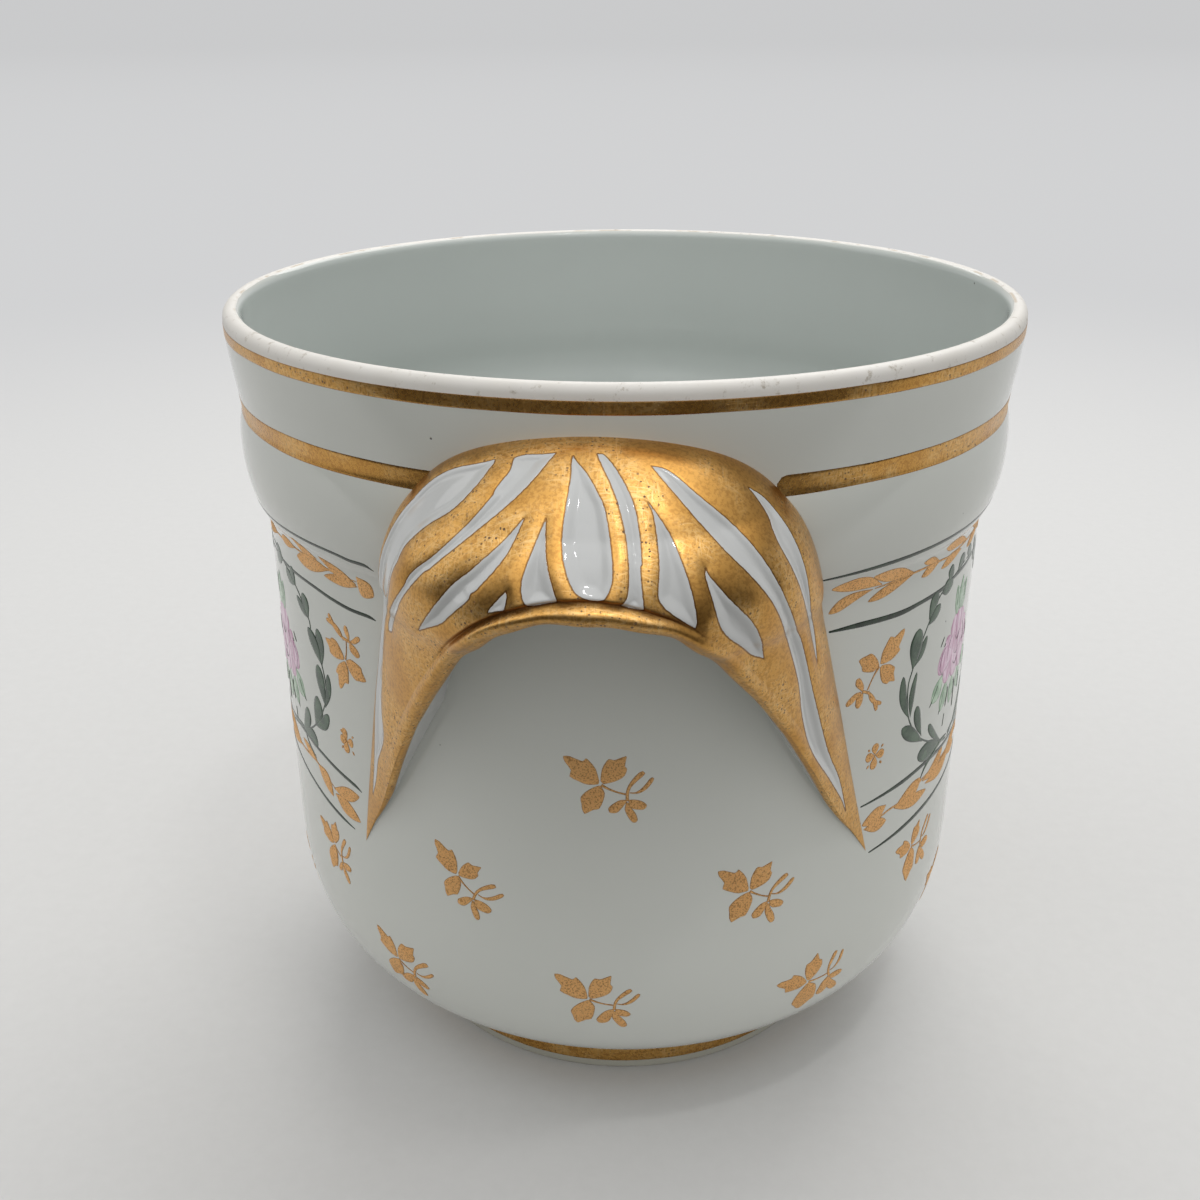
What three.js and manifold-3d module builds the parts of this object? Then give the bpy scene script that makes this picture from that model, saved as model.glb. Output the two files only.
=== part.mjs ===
// Porcelain cache pot with two fluted shell handles.
// Millimetres, +Z up, origin in the middle of the foot's underside, handles towards -Y and +Y.
import * as THREE from "three";
import { mergeVertices } from "three/addons/utils/BufferGeometryUtils.js";
import Module from "manifold-3d";

const wasm = await Module();
wasm.setup();

// Driving sizes of the pot
const HEIGHT = 149.6;
const BODY_RADIUS = 69.7; // the near-cylindrical middle
const BODY_FLARE = 0.4; // how much wider the middle is at its top
const COLLAR_SWELL = 4.2; // how far the rounded collar stands out from the middle
const COLLAR_EDGE_SWELL = 2; // the collar's lower edge, over the cove
const WAIST_SWELL = 3.4; // the crease between the collar and the flared lip
const LIP_SWELL = 5.3; // the flared lip
const SHOULDER_HEIGHT = 46; // where the rounded bottom meets the middle
const COVE_DROP = 42.6; // the cove's foot, below the rim
const COLLAR_EDGE_DROP = 35.8; // the collar's lower edge, below the rim
const WAIST_DROP = 18.4; // the waist, below the rim
const LIP_THICKNESS = 3.4;
const WALL = 4;
const FLOOR_THICKNESS = 5;
const FLOOR_RADIUS = 43; // flat part of the inside floor
const INNER_KNEE_HEIGHT = 30; // top of the rounded corner between floor and wall inside

// Driving sizes of the foot ring
const FOOT_RADIUS = 46.2;
const FOOT_HEIGHT = 6;
const FOOT_WIDTH = 5.4;
const FOOT_TAPER = 0.6; // the ring's inner face leans out by this much
const FOOT_EDGE = 0.7; // softened lower edges
const BASE_STEP = 0.9; // the body stands out over the ring by this much

// Driving sizes of the handles
const CROWN_DROP = 7.8; // top of the handle, below the rim
const HANDLE_RISE = 84.3; // crown to the tips of the tails
const HANDLE_SPAN = 100; // tip to tip, measured round the wall
const ARCH_RISE = 19.6; // crown down to the free lip, at the middle
const REACH = 23; // how far the free lip stands off the wall
const TIP_REACH = 2;
const HANDLE_LIP = 4.6; // thickness of the rolled free lip
const LIP_ROLL = 1.2; // how far the roll hangs below the shell
const TAIL_EDGE = 2; // thickness of the tails' rounded inner edge
const POCKET_RISE = 0.5; // share of the shell that is hollow behind the lip
const TAIL_DRIFT = 2; // both tips lean this far to one side, as moulded
const FLUTE_DEPTH = 0.9;
const BEAD_RISE = 0.5; // the lip's bead stands this much above the ribs

// Clearances and fineness
const SEAT_GAP = 0.3;
const EMBED = 3; // how far a handle runs into the wall before the wall trims it
const SIDES = 64;
const COLUMNS = 66;
const ROWS = 18;
const ROLL_ROWS = 4;
const POCKET_ROWS = 5;

// Points of a path made of straight and curved stretches, as [radius, height]
function profilePoints(stretches, divisions) {
  const path = new THREE.CurvePath();
  stretches.forEach((stretch) => path.add(stretch));
  const points = [];
  path.curves.forEach((curve, index) => {
    const count = curve.isLineCurve ? 1 : divisions[index];
    for (let i = points.length ? 1 : 0; i <= count; i += 1) points.push(curve.getPoint(i / count));
  });
  return points;
}

const at = (radius, height) => new THREE.Vector2(radius, height);
const line = (a, b) => new THREE.LineCurve(a, b);
const bend = (a, b, c, d) => new THREE.CubicBezierCurve(a, b, c, d);

// Turned solid about +Z from [radius, height] points that start and end on the axis or close
function turned(points) {
  const geometry = new THREE.LatheGeometry(points, SIDES);
  geometry.rotateX(Math.PI / 2);
  return geometry;
}

function toSolid(geometry) {
  const bare = geometry.clone();
  bare.deleteAttribute("normal");
  bare.deleteAttribute("uv");
  const merged = mergeVertices(bare, 1e-4);
  const index = merged.index.array;
  const triangles = [];
  for (let i = 0; i < index.length; i += 3) {
    const [a, b, c] = [index[i], index[i + 1], index[i + 2]];
    if (a !== b && b !== c && c !== a) triangles.push(a, b, c);
  }
  return new wasm.Manifold(new wasm.Mesh({
    numProp: 3,
    vertProperties: Float32Array.from(merged.attributes.position.array),
    triVerts: Uint32Array.from(triangles),
  }));
}

function toGeometry(solid) {
  const mesh = solid.getMesh();
  const geometry = new THREE.BufferGeometry();
  geometry.setAttribute("position", new THREE.BufferAttribute(mesh.vertProperties, 3));
  geometry.setIndex(new THREE.BufferAttribute(mesh.triVerts, 1));
  geometry.computeVertexNormals();
  return geometry;
}

// The wall's outer line, from the base up to just under the lip's rounding
const BASE_HEIGHT = FOOT_HEIGHT + SEAT_GAP;
const BASE_RADIUS = FOOT_RADIUS + BASE_STEP;
const COVE_HEIGHT = HEIGHT - COVE_DROP;
const COLLAR_EDGE_HEIGHT = HEIGHT - COLLAR_EDGE_DROP;
const WAIST_HEIGHT = HEIGHT - WAIST_DROP;
const LIP_HEIGHT = HEIGHT - LIP_THICKNESS / 2;
const TOP_RADIUS = BODY_RADIUS + BODY_FLARE;
const COLLAR_RADIUS = BODY_RADIUS + COLLAR_SWELL;
const COLLAR_EDGE_RADIUS = BODY_RADIUS + COLLAR_EDGE_SWELL;
const WAIST_RADIUS = BODY_RADIUS + WAIST_SWELL;
const LIP_RADIUS = BODY_RADIUS + LIP_SWELL;

function outerLine() {
  const shoulderRise = SHOULDER_HEIGHT - BASE_HEIGHT;
  const shoulderRun = BODY_RADIUS - BASE_RADIUS;
  const coveRise = COLLAR_EDGE_HEIGHT - COVE_HEIGHT;
  const collarRise = WAIST_HEIGHT - COLLAR_EDGE_HEIGHT;
  const lipRise = LIP_HEIGHT - WAIST_HEIGHT;
  // Both handles of the collar's curve stand at this radius, so that it swells to COLLAR_RADIUS
  const collarPull = (8 * COLLAR_RADIUS - WAIST_RADIUS - COLLAR_EDGE_RADIUS) / 6;
  return profilePoints([
    bend(
      at(BASE_RADIUS, BASE_HEIGHT),
      at(BASE_RADIUS + 0.48 * shoulderRun, BASE_HEIGHT + 0.26 * shoulderRise),
      at(BODY_RADIUS, BASE_HEIGHT + 0.3 * shoulderRise),
      at(BODY_RADIUS, SHOULDER_HEIGHT),
    ),
    line(at(BODY_RADIUS, SHOULDER_HEIGHT), at(TOP_RADIUS, COVE_HEIGHT)),
    bend(
      at(TOP_RADIUS, COVE_HEIGHT),
      at(TOP_RADIUS, COVE_HEIGHT + 0.5 * coveRise),
      at(TOP_RADIUS + 0.3 * (COLLAR_EDGE_RADIUS - TOP_RADIUS), COLLAR_EDGE_HEIGHT - 0.15 * coveRise),
      at(COLLAR_EDGE_RADIUS, COLLAR_EDGE_HEIGHT),
    ),
    bend(
      at(COLLAR_EDGE_RADIUS, COLLAR_EDGE_HEIGHT),
      at(collarPull, COLLAR_EDGE_HEIGHT + 0.28 * collarRise),
      at(collarPull, WAIST_HEIGHT - 0.15 * collarRise),
      at(WAIST_RADIUS, WAIST_HEIGHT),
    ),
    bend(
      at(WAIST_RADIUS, WAIST_HEIGHT),
      at(WAIST_RADIUS + 0.35 * (LIP_RADIUS - WAIST_RADIUS), WAIST_HEIGHT + 0.35 * lipRise),
      at(LIP_RADIUS, LIP_HEIGHT - 0.35 * lipRise),
      at(LIP_RADIUS, LIP_HEIGHT),
    ),
  ], [8, 0, 3, 6, 3]);
}

const WALL_LINE = outerLine();

function wallRadius(height) {
  const i = WALL_LINE.findIndex((point) => point.y >= height);
  if (i < 1) return i === 0 ? WALL_LINE[0].x : WALL_LINE[WALL_LINE.length - 1].x;
  const [low, high] = [WALL_LINE[i - 1], WALL_LINE[i]];
  return low.x + ((high.x - low.x) * (height - low.y)) / (high.y - low.y);
}

// The inside line, from the lip down to the middle of the floor: it follows the collar softly
function innerLine() {
  const floor = BASE_HEIGHT + FLOOR_THICKNESS;
  const knee = floor + INNER_KNEE_HEIGHT;
  const lipInner = LIP_RADIUS - LIP_THICKNESS;
  const collarInner = COLLAR_RADIUS - WALL;
  const bodyInner = BODY_RADIUS - WALL;
  const collarMiddle = (WAIST_HEIGHT + COLLAR_EDGE_HEIGHT) / 2;
  const softness = (WAIST_HEIGHT - COLLAR_EDGE_HEIGHT) / 2;
  return profilePoints([
    bend(
      at(lipInner, LIP_HEIGHT),
      at(lipInner, LIP_HEIGHT - softness),
      at(collarInner, collarMiddle + softness),
      at(collarInner, collarMiddle),
    ),
    bend(
      at(collarInner, collarMiddle),
      at(collarInner, collarMiddle - softness),
      at(bodyInner, COVE_HEIGHT + softness),
      at(bodyInner, COVE_HEIGHT - softness / 2),
    ),
    line(at(bodyInner, COVE_HEIGHT - softness / 2), at(bodyInner, knee)),
    bend(
      at(bodyInner, knee),
      at(bodyInner, knee - 0.6 * INNER_KNEE_HEIGHT),
      at(FLOOR_RADIUS + 0.4 * (bodyInner - FLOOR_RADIUS), floor),
      at(FLOOR_RADIUS, floor),
    ),
    line(at(FLOOR_RADIUS, floor), at(0, floor)),
  ], [3, 4, 0, 7, 0]);
}

function potBody() {
  const lipMiddle = LIP_RADIUS - LIP_THICKNESS / 2;
  const lip = [];
  for (let i = 1; i < 6; i += 1) {
    const turn = (Math.PI * i) / 6;
    const half = LIP_THICKNESS / 2;
    lip.push(at(lipMiddle + half * Math.cos(turn), LIP_HEIGHT + half * Math.sin(turn)));
  }
  return turned([at(0, BASE_HEIGHT), ...WALL_LINE, ...lip, ...innerLine()]);
}

// The ring stands under the base, with softened lower edges and a leaning inner face
function footRing() {
  const inner = FOOT_RADIUS - FOOT_WIDTH;
  return turned([
    at(inner, FOOT_HEIGHT),
    at(inner + FOOT_TAPER, FOOT_EDGE),
    at(inner + FOOT_TAPER + FOOT_EDGE, 0),
    at(FOOT_RADIUS - FOOT_EDGE, 0),
    at(FOOT_RADIUS, FOOT_EDGE),
    at(FOOT_RADIUS, FOOT_HEIGHT),
    at(inner, FOOT_HEIGHT),
  ]);
}

// A handle is drawn on the unrolled wall: x runs round the wall, y is the height.
const CROWN_HEIGHT = HEIGHT - CROWN_DROP;
const TIP_HEIGHT = CROWN_HEIGHT - HANDLE_RISE;
const HALF_SPAN = HANDLE_SPAN / 2;

// Mirrored smooth curve through points given as shares of the span and of the drop to the tips
function mirroredCurve(shares) {
  const right = shares.map(([across, down]) =>
    new THREE.Vector3(across * HALF_SPAN, CROWN_HEIGHT - down * HANDLE_RISE, 0));
  const left = right.slice(1).reverse().map((point) => new THREE.Vector3(-point.x, point.y, 0));
  return new THREE.CatmullRomCurve3([...left, ...right], false, "catmullrom", 0.5);
}

// The outline where the handle meets the wall, and the free inner edge of lip and tails
const ARCH = ARCH_RISE / HANDLE_RISE;
const OUTLINE = mirroredCurve([
  [0, 0], [0.35, 0.036], [0.57, 0.138], [0.696, 0.3], [0.82, 0.567], [0.908, 0.78], [1, 1],
]);
const INNER_EDGE = mirroredCurve([
  [0, ARCH], [0.152, ARCH + 0.026], [0.28, ARCH + 0.097], [0.44, ARCH + 0.246],
  [0.786, 0.82], [0.92, 0.93], [1, 1],
]);
const CROWN_SHARE = 0.09; // part of each side of the outline that the flutes fan out from

const outlineAt = (share) => OUTLINE.getPoint(0.5 + share / 2);
const innerAt = (share) => INNER_EDGE.getPoint(0.5 + share / 2);

// A point of the fan: along is 0 at the crown and 1 at the inner edge, side is -1 to 1
function fanPoint(side, along) {
  const turn = Math.abs(side);
  const blend = { x: turn, y: turn * turn };
  const crown = outlineAt(CROWN_SHARE * turn);
  const edge = innerAt(turn);
  const middle = { x: 0, y: CROWN_HEIGHT - ARCH_RISE * along };
  const flank = outlineAt(CROWN_SHARE + (1 - CROWN_SHARE) * along ** 0.9);
  const corner = outlineAt(CROWN_SHARE);
  const tip = innerAt(1);
  const place = (axis) => {
    const b = blend[axis];
    const ruled = (1 - along) * crown[axis] + along * edge[axis]
      + (1 - b) * middle[axis] + b * flank[axis];
    const corners = (1 - b) * ((1 - along) * outlineAt(0)[axis] + along * innerAt(0)[axis])
      + b * ((1 - along) * corner[axis] + along * tip[axis]);
    return ruled - corners;
  };
  return new THREE.Vector2(Math.sign(side) * place("x"), place("y"));
}

// Half the outline's width at a height, found by halving the curve's parameter
function halfWidth(height) {
  let [low, high] = [0, 1];
  for (let i = 0; i < 24; i += 1) {
    const middle = (low + high) / 2;
    if (outlineAt(middle).y > height) low = middle;
    else high = middle;
  }
  return Math.max(outlineAt(low).x, 1e-3);
}

// How far the plain shell stands off the wall: domed across, full at the lip, thin at the tips
function shellReach(point) {
  const lipHeight = CROWN_HEIGHT - ARCH_RISE - LIP_ROLL;
  const up = THREE.MathUtils.clamp((point.y - TIP_HEIGHT) / (lipHeight - TIP_HEIGHT), 0, 1);
  const above = THREE.MathUtils.clamp((point.y - lipHeight) / (CROWN_HEIGHT - lipHeight), 0, 1);
  const ridge = above > 0
    ? REACH * (1 - above ** 1.6) ** 0.7
    : TIP_REACH + (REACH - TIP_REACH) * (up - 0.12 * up ** 8) / 0.88;
  const across = Math.min(Math.abs(point.x) / halfWidth(point.y), 1);
  return ridge * (1 - across * across) ** 0.8;
}

// The flutes of one side: where each starts and ends in the fan, and its half width
const FLUTES = [
  { start: [0, 0.09], end: [0, 0.87], half: 0.08 },
  { start: [0.12, 0.16], end: [0.12, 0.9], half: 0.035 },
  { start: [0.24, 0.3], end: [0.245, 0.87], half: 0.05 },
  { start: [0.25, 0.38], end: [0.46, 0.8], half: 0.065 },
  { start: [0.42, 0.08], end: [0.77, 0.95], half: 0.05 },
  { start: [0.87, 0.08], end: [0.75, 0.62], half: 0.045 },
];

// Share of the full flute depth at a place of the fan
function fluteShare(side, along) {
  const turn = Math.abs(side);
  let deepest = 0;
  FLUTES.forEach(({ start, end, half }) => {
    const t = (along - start[1]) / (end[1] - start[1]);
    if (t <= 0 || t >= 1) return;
    const middle = start[0] + (end[0] - start[0]) * t;
    const reach = half * Math.sqrt(Math.sin(Math.PI * t ** 0.8));
    const off = Math.abs(turn - middle) / reach;
    if (off < 1) deepest = Math.max(deepest, Math.cos((off * Math.PI) / 2) ** 0.6);
  });
  return deepest;
}

// A point of the handle in space, from its place on the unrolled wall and its stand-off
function onWall(point, reach) {
  const drop = Math.max((CROWN_HEIGHT - point.y) / HANDLE_RISE, 0);
  const turn = (point.x + TAIL_DRIFT * drop ** 3) / BODY_RADIUS;
  const radius = wallRadius(point.y) + reach;
  return [radius * Math.sin(turn), -radius * Math.cos(turn), point.y];
}

// One closed rib of the handle: out over the shell, round the lip, up the pocket, back in the wall
function handleLoop(side, outsideReach) {
  const loop = [];
  for (let i = 0; i <= ROWS; i += 1) {
    const along = i / ROWS;
    const point = fanPoint(side, along);
    const bead = Math.sin(Math.PI * THREE.MathUtils.clamp((along - 0.88) / 0.12, 0, 1));
    const open = Math.min(1, 4 * shellReach(point) / REACH);
    const relief = open * (BEAD_RISE * bead - FLUTE_DEPTH * fluteShare(side, along));
    loop.push(onWall(point, outsideReach ?? shellReach(point) + relief));
  }
  const edge = fanPoint(side, 1);
  const turn = Math.abs(side);
  const before = innerAt(Math.max(turn - 0.01, -1));
  const after = innerAt(Math.min(turn + 0.01, 1));
  const inward = new THREE.Vector2(after.y - before.y, before.x - after.x).normalize();
  if (side < 0) inward.x = -inward.x;
  const edgeReach = shellReach(edge);
  const lipPart = Math.sqrt(Math.max(0, 1 - (turn / 0.55) ** 2));
  const thick = Math.min(TAIL_EDGE + (HANDLE_LIP - TAIL_EDGE) * lipPart, 0.7 * edgeReach);
  const hang = LIP_ROLL * (thick / HANDLE_LIP);
  for (let i = 1; i <= ROLL_ROWS; i += 1) {
    const angle = (Math.PI * i) / ROLL_ROWS;
    const point = edge.clone().addScaledVector(inward, hang * Math.sin(angle));
    const reach = edgeReach - (thick * (1 - Math.cos(angle))) / 2;
    loop.push(onWall(point, outsideReach ?? reach));
  }
  const pocketEnd = 1 - POCKET_RISE * lipPart;
  for (let i = 1; i <= POCKET_ROWS; i += 1) {
    const angle = (Math.PI * i) / (2 * POCKET_ROWS);
    const point = fanPoint(side, 1 - (1 - pocketEnd) * Math.sin(angle));
    loop.push(onWall(point, outsideReach ?? (edgeReach - thick) * Math.cos(angle)));
  }
  for (let i = ROWS; i >= 0; i -= 1) {
    loop.push(onWall(fanPoint(side, (pocketEnd * i) / ROWS), -EMBED));
  }
  return loop;
}

// The handle before the wall trims it: loops side by side, closed at both ends inside the wall
function rawHandle() {
  const loops = [handleLoop(-1, -EMBED)];
  for (let i = 0; i <= COLUMNS; i += 1) loops.push(handleLoop((2 * i) / COLUMNS - 1));
  loops.push(handleLoop(1, -EMBED));
  const size = loops[0].length;
  const index = [];
  for (let j = 0; j + 1 < loops.length; j += 1) {
    for (let i = 0; i < size; i += 1) {
      const next = (i + 1) % size;
      const [a, b, c, d] = [j * size + i, j * size + next, (j + 1) * size + next, (j + 1) * size + i];
      index.push(a, b, c, a, c, d);
    }
  }
  const geometry = new THREE.BufferGeometry();
  const position = new Float32Array(loops.flat(2));
  geometry.setAttribute("position", new THREE.BufferAttribute(position, 3));
  geometry.setIndex(index);
  return geometry;
}

// The pot's outside grown by the seat gap, which trims the backs of the handles
function wallTrim() {
  const grown = WALL_LINE.map((point) => at(point.x + SEAT_GAP, point.y));
  return turned([at(0, BASE_HEIGHT), ...grown, at(0, LIP_HEIGHT)]);
}

function shellHandle() {
  return toGeometry(toSolid(rawHandle()).subtract(toSolid(wallTrim())));
}

function glaze(color) {
  return new THREE.MeshStandardMaterial({ color, roughness: 0.12, metalness: 0 });
}

function gilding(color) {
  return new THREE.MeshStandardMaterial({ color, roughness: 0.32, metalness: 0.9 });
}

function piece(name, geometry, material) {
  const mesh = new THREE.Mesh(geometry, material);
  mesh.name = name;
  return mesh;
}

const pot = new THREE.Group();
const handleShape = shellHandle();
pot.add(piece("pot_body", potBody(), glaze(0xd9ddd8)));
pot.add(piece("foot_ring", footRing(), glaze(0xd2d0c8)));
pot.add(piece("handle_front", handleShape, gilding(0xb4803a)));
const back = piece("handle_back", handleShape.clone(), gilding(0xb4803a));
back.rotation.z = Math.PI;
pot.add(back);

export default pot;
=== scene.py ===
import bpy
import numpy as np
from mathutils import Matrix


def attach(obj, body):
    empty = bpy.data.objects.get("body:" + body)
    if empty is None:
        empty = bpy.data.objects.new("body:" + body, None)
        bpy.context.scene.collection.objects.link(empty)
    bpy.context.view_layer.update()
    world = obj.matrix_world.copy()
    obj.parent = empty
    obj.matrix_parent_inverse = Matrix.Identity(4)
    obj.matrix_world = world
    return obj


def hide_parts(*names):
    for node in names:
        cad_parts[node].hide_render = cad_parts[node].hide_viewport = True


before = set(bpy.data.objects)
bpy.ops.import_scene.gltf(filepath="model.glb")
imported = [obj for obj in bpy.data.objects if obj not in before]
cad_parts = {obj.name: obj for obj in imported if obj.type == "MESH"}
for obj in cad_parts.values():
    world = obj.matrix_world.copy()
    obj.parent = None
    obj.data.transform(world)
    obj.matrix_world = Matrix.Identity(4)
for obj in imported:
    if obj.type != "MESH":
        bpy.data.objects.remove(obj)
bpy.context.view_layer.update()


# Camera
# It looks down into the pot from a little above the rim, nearly straight at the front handle.
# Its lens is 42 mm on a 36 mm film, and the picture is square.
def stand(name, data, aside, upright, behind, where):
    """An object at a place in metres, turned by the directions of its own three axes."""
    turn = np.eye(4)
    turn[:3] = np.stack([aside, upright, behind, where], 1)
    made = bpy.data.objects.new(name, data)
    made.matrix_world = Matrix(turn.tolist())
    bpy.context.scene.collection.objects.link(made)
    return made


eye = np.array([15.6, -270.3, 200.0])
yaw, pitch, roll = np.radians([-4.32, 23.17, -0.32])
ahead = np.array([np.sin(yaw) * np.cos(pitch), np.cos(yaw) * np.cos(pitch), -np.sin(pitch)])
level = np.array([np.cos(yaw), -np.sin(yaw), 0.0])
square_up = np.cross(level, ahead)
aside = level * np.cos(roll) + square_up * np.sin(roll)
upright = square_up * np.cos(roll) - level * np.sin(roll)
camera_data = bpy.data.cameras.new("camera")
camera_data.sensor_width, camera_data.lens, camera_data.clip_start = 36, 41.98, 0.01
bpy.context.scene.camera = stand("camera", camera_data, aside, upright, -ahead, eye / 1000)


# Pot body
# One slip-cast wall of porcelain: round bottom, near-straight middle, cove, round collar,
# waist and flared lip. It is glazed inside and out, and its lip is wiped bare and cream.
def run(start, *stretches):
    """Line from a start through stretches, each the end of a straight line, or two handles and
    the end of a cubic curve."""
    t = np.linspace(0, 1, 400)[:, None]
    line = []
    for stretch in stretches:
        a, *handles, d = np.array([start, *stretch], float)
        if handles:
            b, c = handles
            line.append((1 - t) ** 3 * a + 3 * t * (1 - t) ** 2 * b
                        + 3 * t**2 * (1 - t) * c + t**3 * d)
        else:
            line.append(a + t * (d - a))
        start = stretch[-1]
    return np.concatenate(line)


def lengths(path):
    """Distance along a path to each of its points."""
    return np.concatenate([[0], np.cumsum(np.linalg.norm(np.diff(path, axis=0), axis=1))])


def at_lengths(path, wanted):
    """Points of a path at the wanted distances along it."""
    along = lengths(path)
    return np.stack([np.interp(wanted, along, path[:, k]) for k in (0, 1)], -1)


def softened(path, width):
    """The path with its corners rounded by a bell-shaped average of that width, ends kept."""
    step = 0.1
    even = at_lengths(path, np.arange(0, lengths(path)[-1], step))
    reach = int(3 * width / step)
    bell = np.exp(-0.5 * (np.arange(-reach, reach + 1) * step / width) ** 2)
    before, after = 2 * even[0] - even[reach:0:-1], 2 * even[-1] - even[-2 : -reach - 2 : -1]
    padded = np.concatenate([before, even, after])
    return np.stack([np.convolve(padded[:, k], bell / bell.sum(), "valid") for k in (0, 1)], -1)


base_z, floor_z, lip_z, lip_half = 6.3, 11.3, 147.9, 1.7
over_lip = np.linspace(0, np.pi, 60)[1:-1, None]
section = softened(np.concatenate([
    run((0, base_z), [(47.1, base_z)], [(57.9, 16.6), (69.7, 18.2), (69.7, 46)], [(70.1, 107)],
        [(70.1, 110.4), (70.6, 112.8), (71.7, 113.8)],
        [(74.4, 118.7), (74.4, 128.6), (73.1, 131.2)], [(73.8, 137), (75, 142.1), (75, lip_z)]),
    np.hstack([73.3 + lip_half * np.cos(over_lip), lip_z + lip_half * np.sin(over_lip)]),
    run((71.6, lip_z), [(71.6, 139.2), (69.9, 131.2), (69.9, 122.5)],
        [(69.9, 113.8), (65.7, 115.7), (65.7, 102.7)], [(65.7, 41.3)],
        [(65.7, 23.3), (52.1, floor_z), (43, floor_z)], [(0, floor_z)]),
]), 0.32)

# Rows of points up the wall, closer together where it bends
row_count = 250
section_length = lengths(section)
heading = np.unwrap(np.arctan2(*np.gradient(section, axis=0).T[::-1]))
bend = np.abs(np.gradient(heading, section_length))
need = np.cumsum(np.diff(section_length, prepend=0) * (np.sqrt(bend / 0.09) + 0.32))
row_length = np.interp(np.linspace(0, need[-1], row_count), need, section_length)
rings = at_lengths(section, row_length)[1:-1]
from_crest = row_length[1:-1] - section_length[np.argmax(section[:, 1])]

# The outer wall by itself: its arc is 0 at the base's edge and grows up the wall
wall = section[np.argmax(section[:, 1] > base_z + 0.4) : np.argmax(section[:, 1])]
wall_arc = lengths(wall)
wall_slope = np.gradient(wall, wall_arc, axis=0)
middle_radius = 69.7
mm_per_degree = np.radians(middle_radius)


def turned(radius, angle, height):
    """Points at a radius and a height, at an angle in radians round from -Y towards +X."""
    around_axis = (radius * np.sin(angle), -radius * np.cos(angle), height)
    return np.stack(np.broadcast_arrays(*around_axis), -1)


def on_wall(angle, arc, lift):
    """Points off the outer wall: angle in degrees, arc up the wall, and lift square to it."""
    radius, height = (np.interp(arc, wall_arc, wall[:, k]) for k in (0, 1))
    lean, rise = (np.interp(arc, wall_arc, wall_slope[:, k]) for k in (0, 1))
    return turned(radius + lift * rise, np.radians(angle), height - lift * lean)


def arc_at(height):
    """Arc of the outer wall at a height."""
    return np.interp(height, wall[:, 1], wall_arc)


def grid_faces(rows, columns, wrap_rows=False, wrap_columns=False):
    """Quads between neighbouring points of a grid, whose last row or column may join the first."""
    index = np.arange(rows * columns).reshape(rows, columns)
    if wrap_columns:
        index = np.concatenate([index, index[:, :1]], 1)
    if wrap_rows:
        index = np.concatenate([index, index[:1]], 0)
    quads = np.stack([index[:-1, :-1], index[:-1, 1:], index[1:, 1:], index[1:, :-1]], -1)
    return quads.reshape(-1, 4)


def piece(name, points, faces, finish, marks=None, crease=60):
    """A mesh piece from points in millimetres. Marks are per-point numbers for its material,
    and edges sharper than crease degrees stay sharp."""
    mesh = bpy.data.meshes.new(name)
    mesh.from_pydata((np.asarray(points).reshape(-1, 3) / 1000).tolist(), [], faces)
    for label, values in (marks or {}).items():
        mark = mesh.attributes.new(label, "FLOAT", "POINT")
        mark.data.foreach_set("value", np.asarray(values, np.float32).ravel())
    mesh.shade_smooth()
    mesh.set_sharp_from_angle(angle=np.radians(crease))
    mesh.materials.append(finish.material)
    made = bpy.data.objects.new(name, mesh)
    bpy.context.scene.collection.objects.link(made)
    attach(made, "root")
    return made


def give(node, sockets):
    """Values or links for sockets of a node, by name with _ for a space, or by number as i0."""
    for label, value in sockets.items():
        key = int(label[1:]) if label[1:].isdigit() else label.replace("_", " ")
        if isinstance(value, bpy.types.NodeSocket):
            value.id_data.links.new(value, node.inputs[key])
        else:
            node.inputs[key].default_value = value


def put(kind, settings=None, tree=None, **sockets):
    """Outputs of a new shader node. Its tree can be left out when one of its sockets is linked."""
    if tree is None:
        tree = next(v.id_data for v in sockets.values() if isinstance(v, bpy.types.NodeSocket))
    made = tree.nodes.new("ShaderNode" + kind)
    for label, value in (settings or {}).items():
        setattr(made, label, value)
    give(made, sockets)
    return made.outputs


def math(operation, *values):
    """One step of arithmetic on values or links."""
    sockets = {f"i{k}": value for k, value in enumerate(values)}
    return put("Math", {"operation": operation}, **sockets)[0]


def times(a, b):
    """a times b."""
    return math("MULTIPLY", a, b)


def scaled(a, b, c):
    """a times b, plus c."""
    return math("MULTIPLY_ADD", a, b, c)


def away_from(middle, value):
    """Distance of a value from a middle one."""
    return math("ABSOLUTE", math("SUBTRACT", value, middle))


def ramp(value, low, high):
    """Value stretched so that low gives 0 and high gives 1, with soft ends."""
    settings = {"interpolation_type": "SMOOTHSTEP"}
    return put("MapRange", settings, Value=value, From_Min=low, From_Max=high)[0]


def mix(share, first, second):
    """Colour between two colours, by a share of the second."""
    first, second = ((*c, 1) if isinstance(c, tuple) else c for c in (first, second))
    return put("Mix", {"data_type": "RGBA"}, i0=share, i6=first, i7=second)[2]


def noise(place, scale, detail=2.0, roughness=0.5):
    """Noise between 0 and 1, with about that many lumps to the metre."""
    return put("TexNoise", Vector=place, Scale=scale, Detail=detail, Roughness=roughness)[0]


class Effect:
    """A node group that several materials place, with named inputs and outputs."""

    def __init__(self, name, inputs, outputs):
        self.tree = bpy.data.node_groups.new(name, "ShaderNodeTree")
        for in_out, sockets in (("INPUT", inputs), ("OUTPUT", outputs)):
            for label, kind in sockets.items():
                socket_type = "NodeSocket" + kind
                self.tree.interface.new_socket(label, in_out=in_out, socket_type=socket_type)
        self.given = self.tree.nodes.new("NodeGroupInput").outputs
        self.result = self.tree.nodes.new("NodeGroupOutput")


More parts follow.
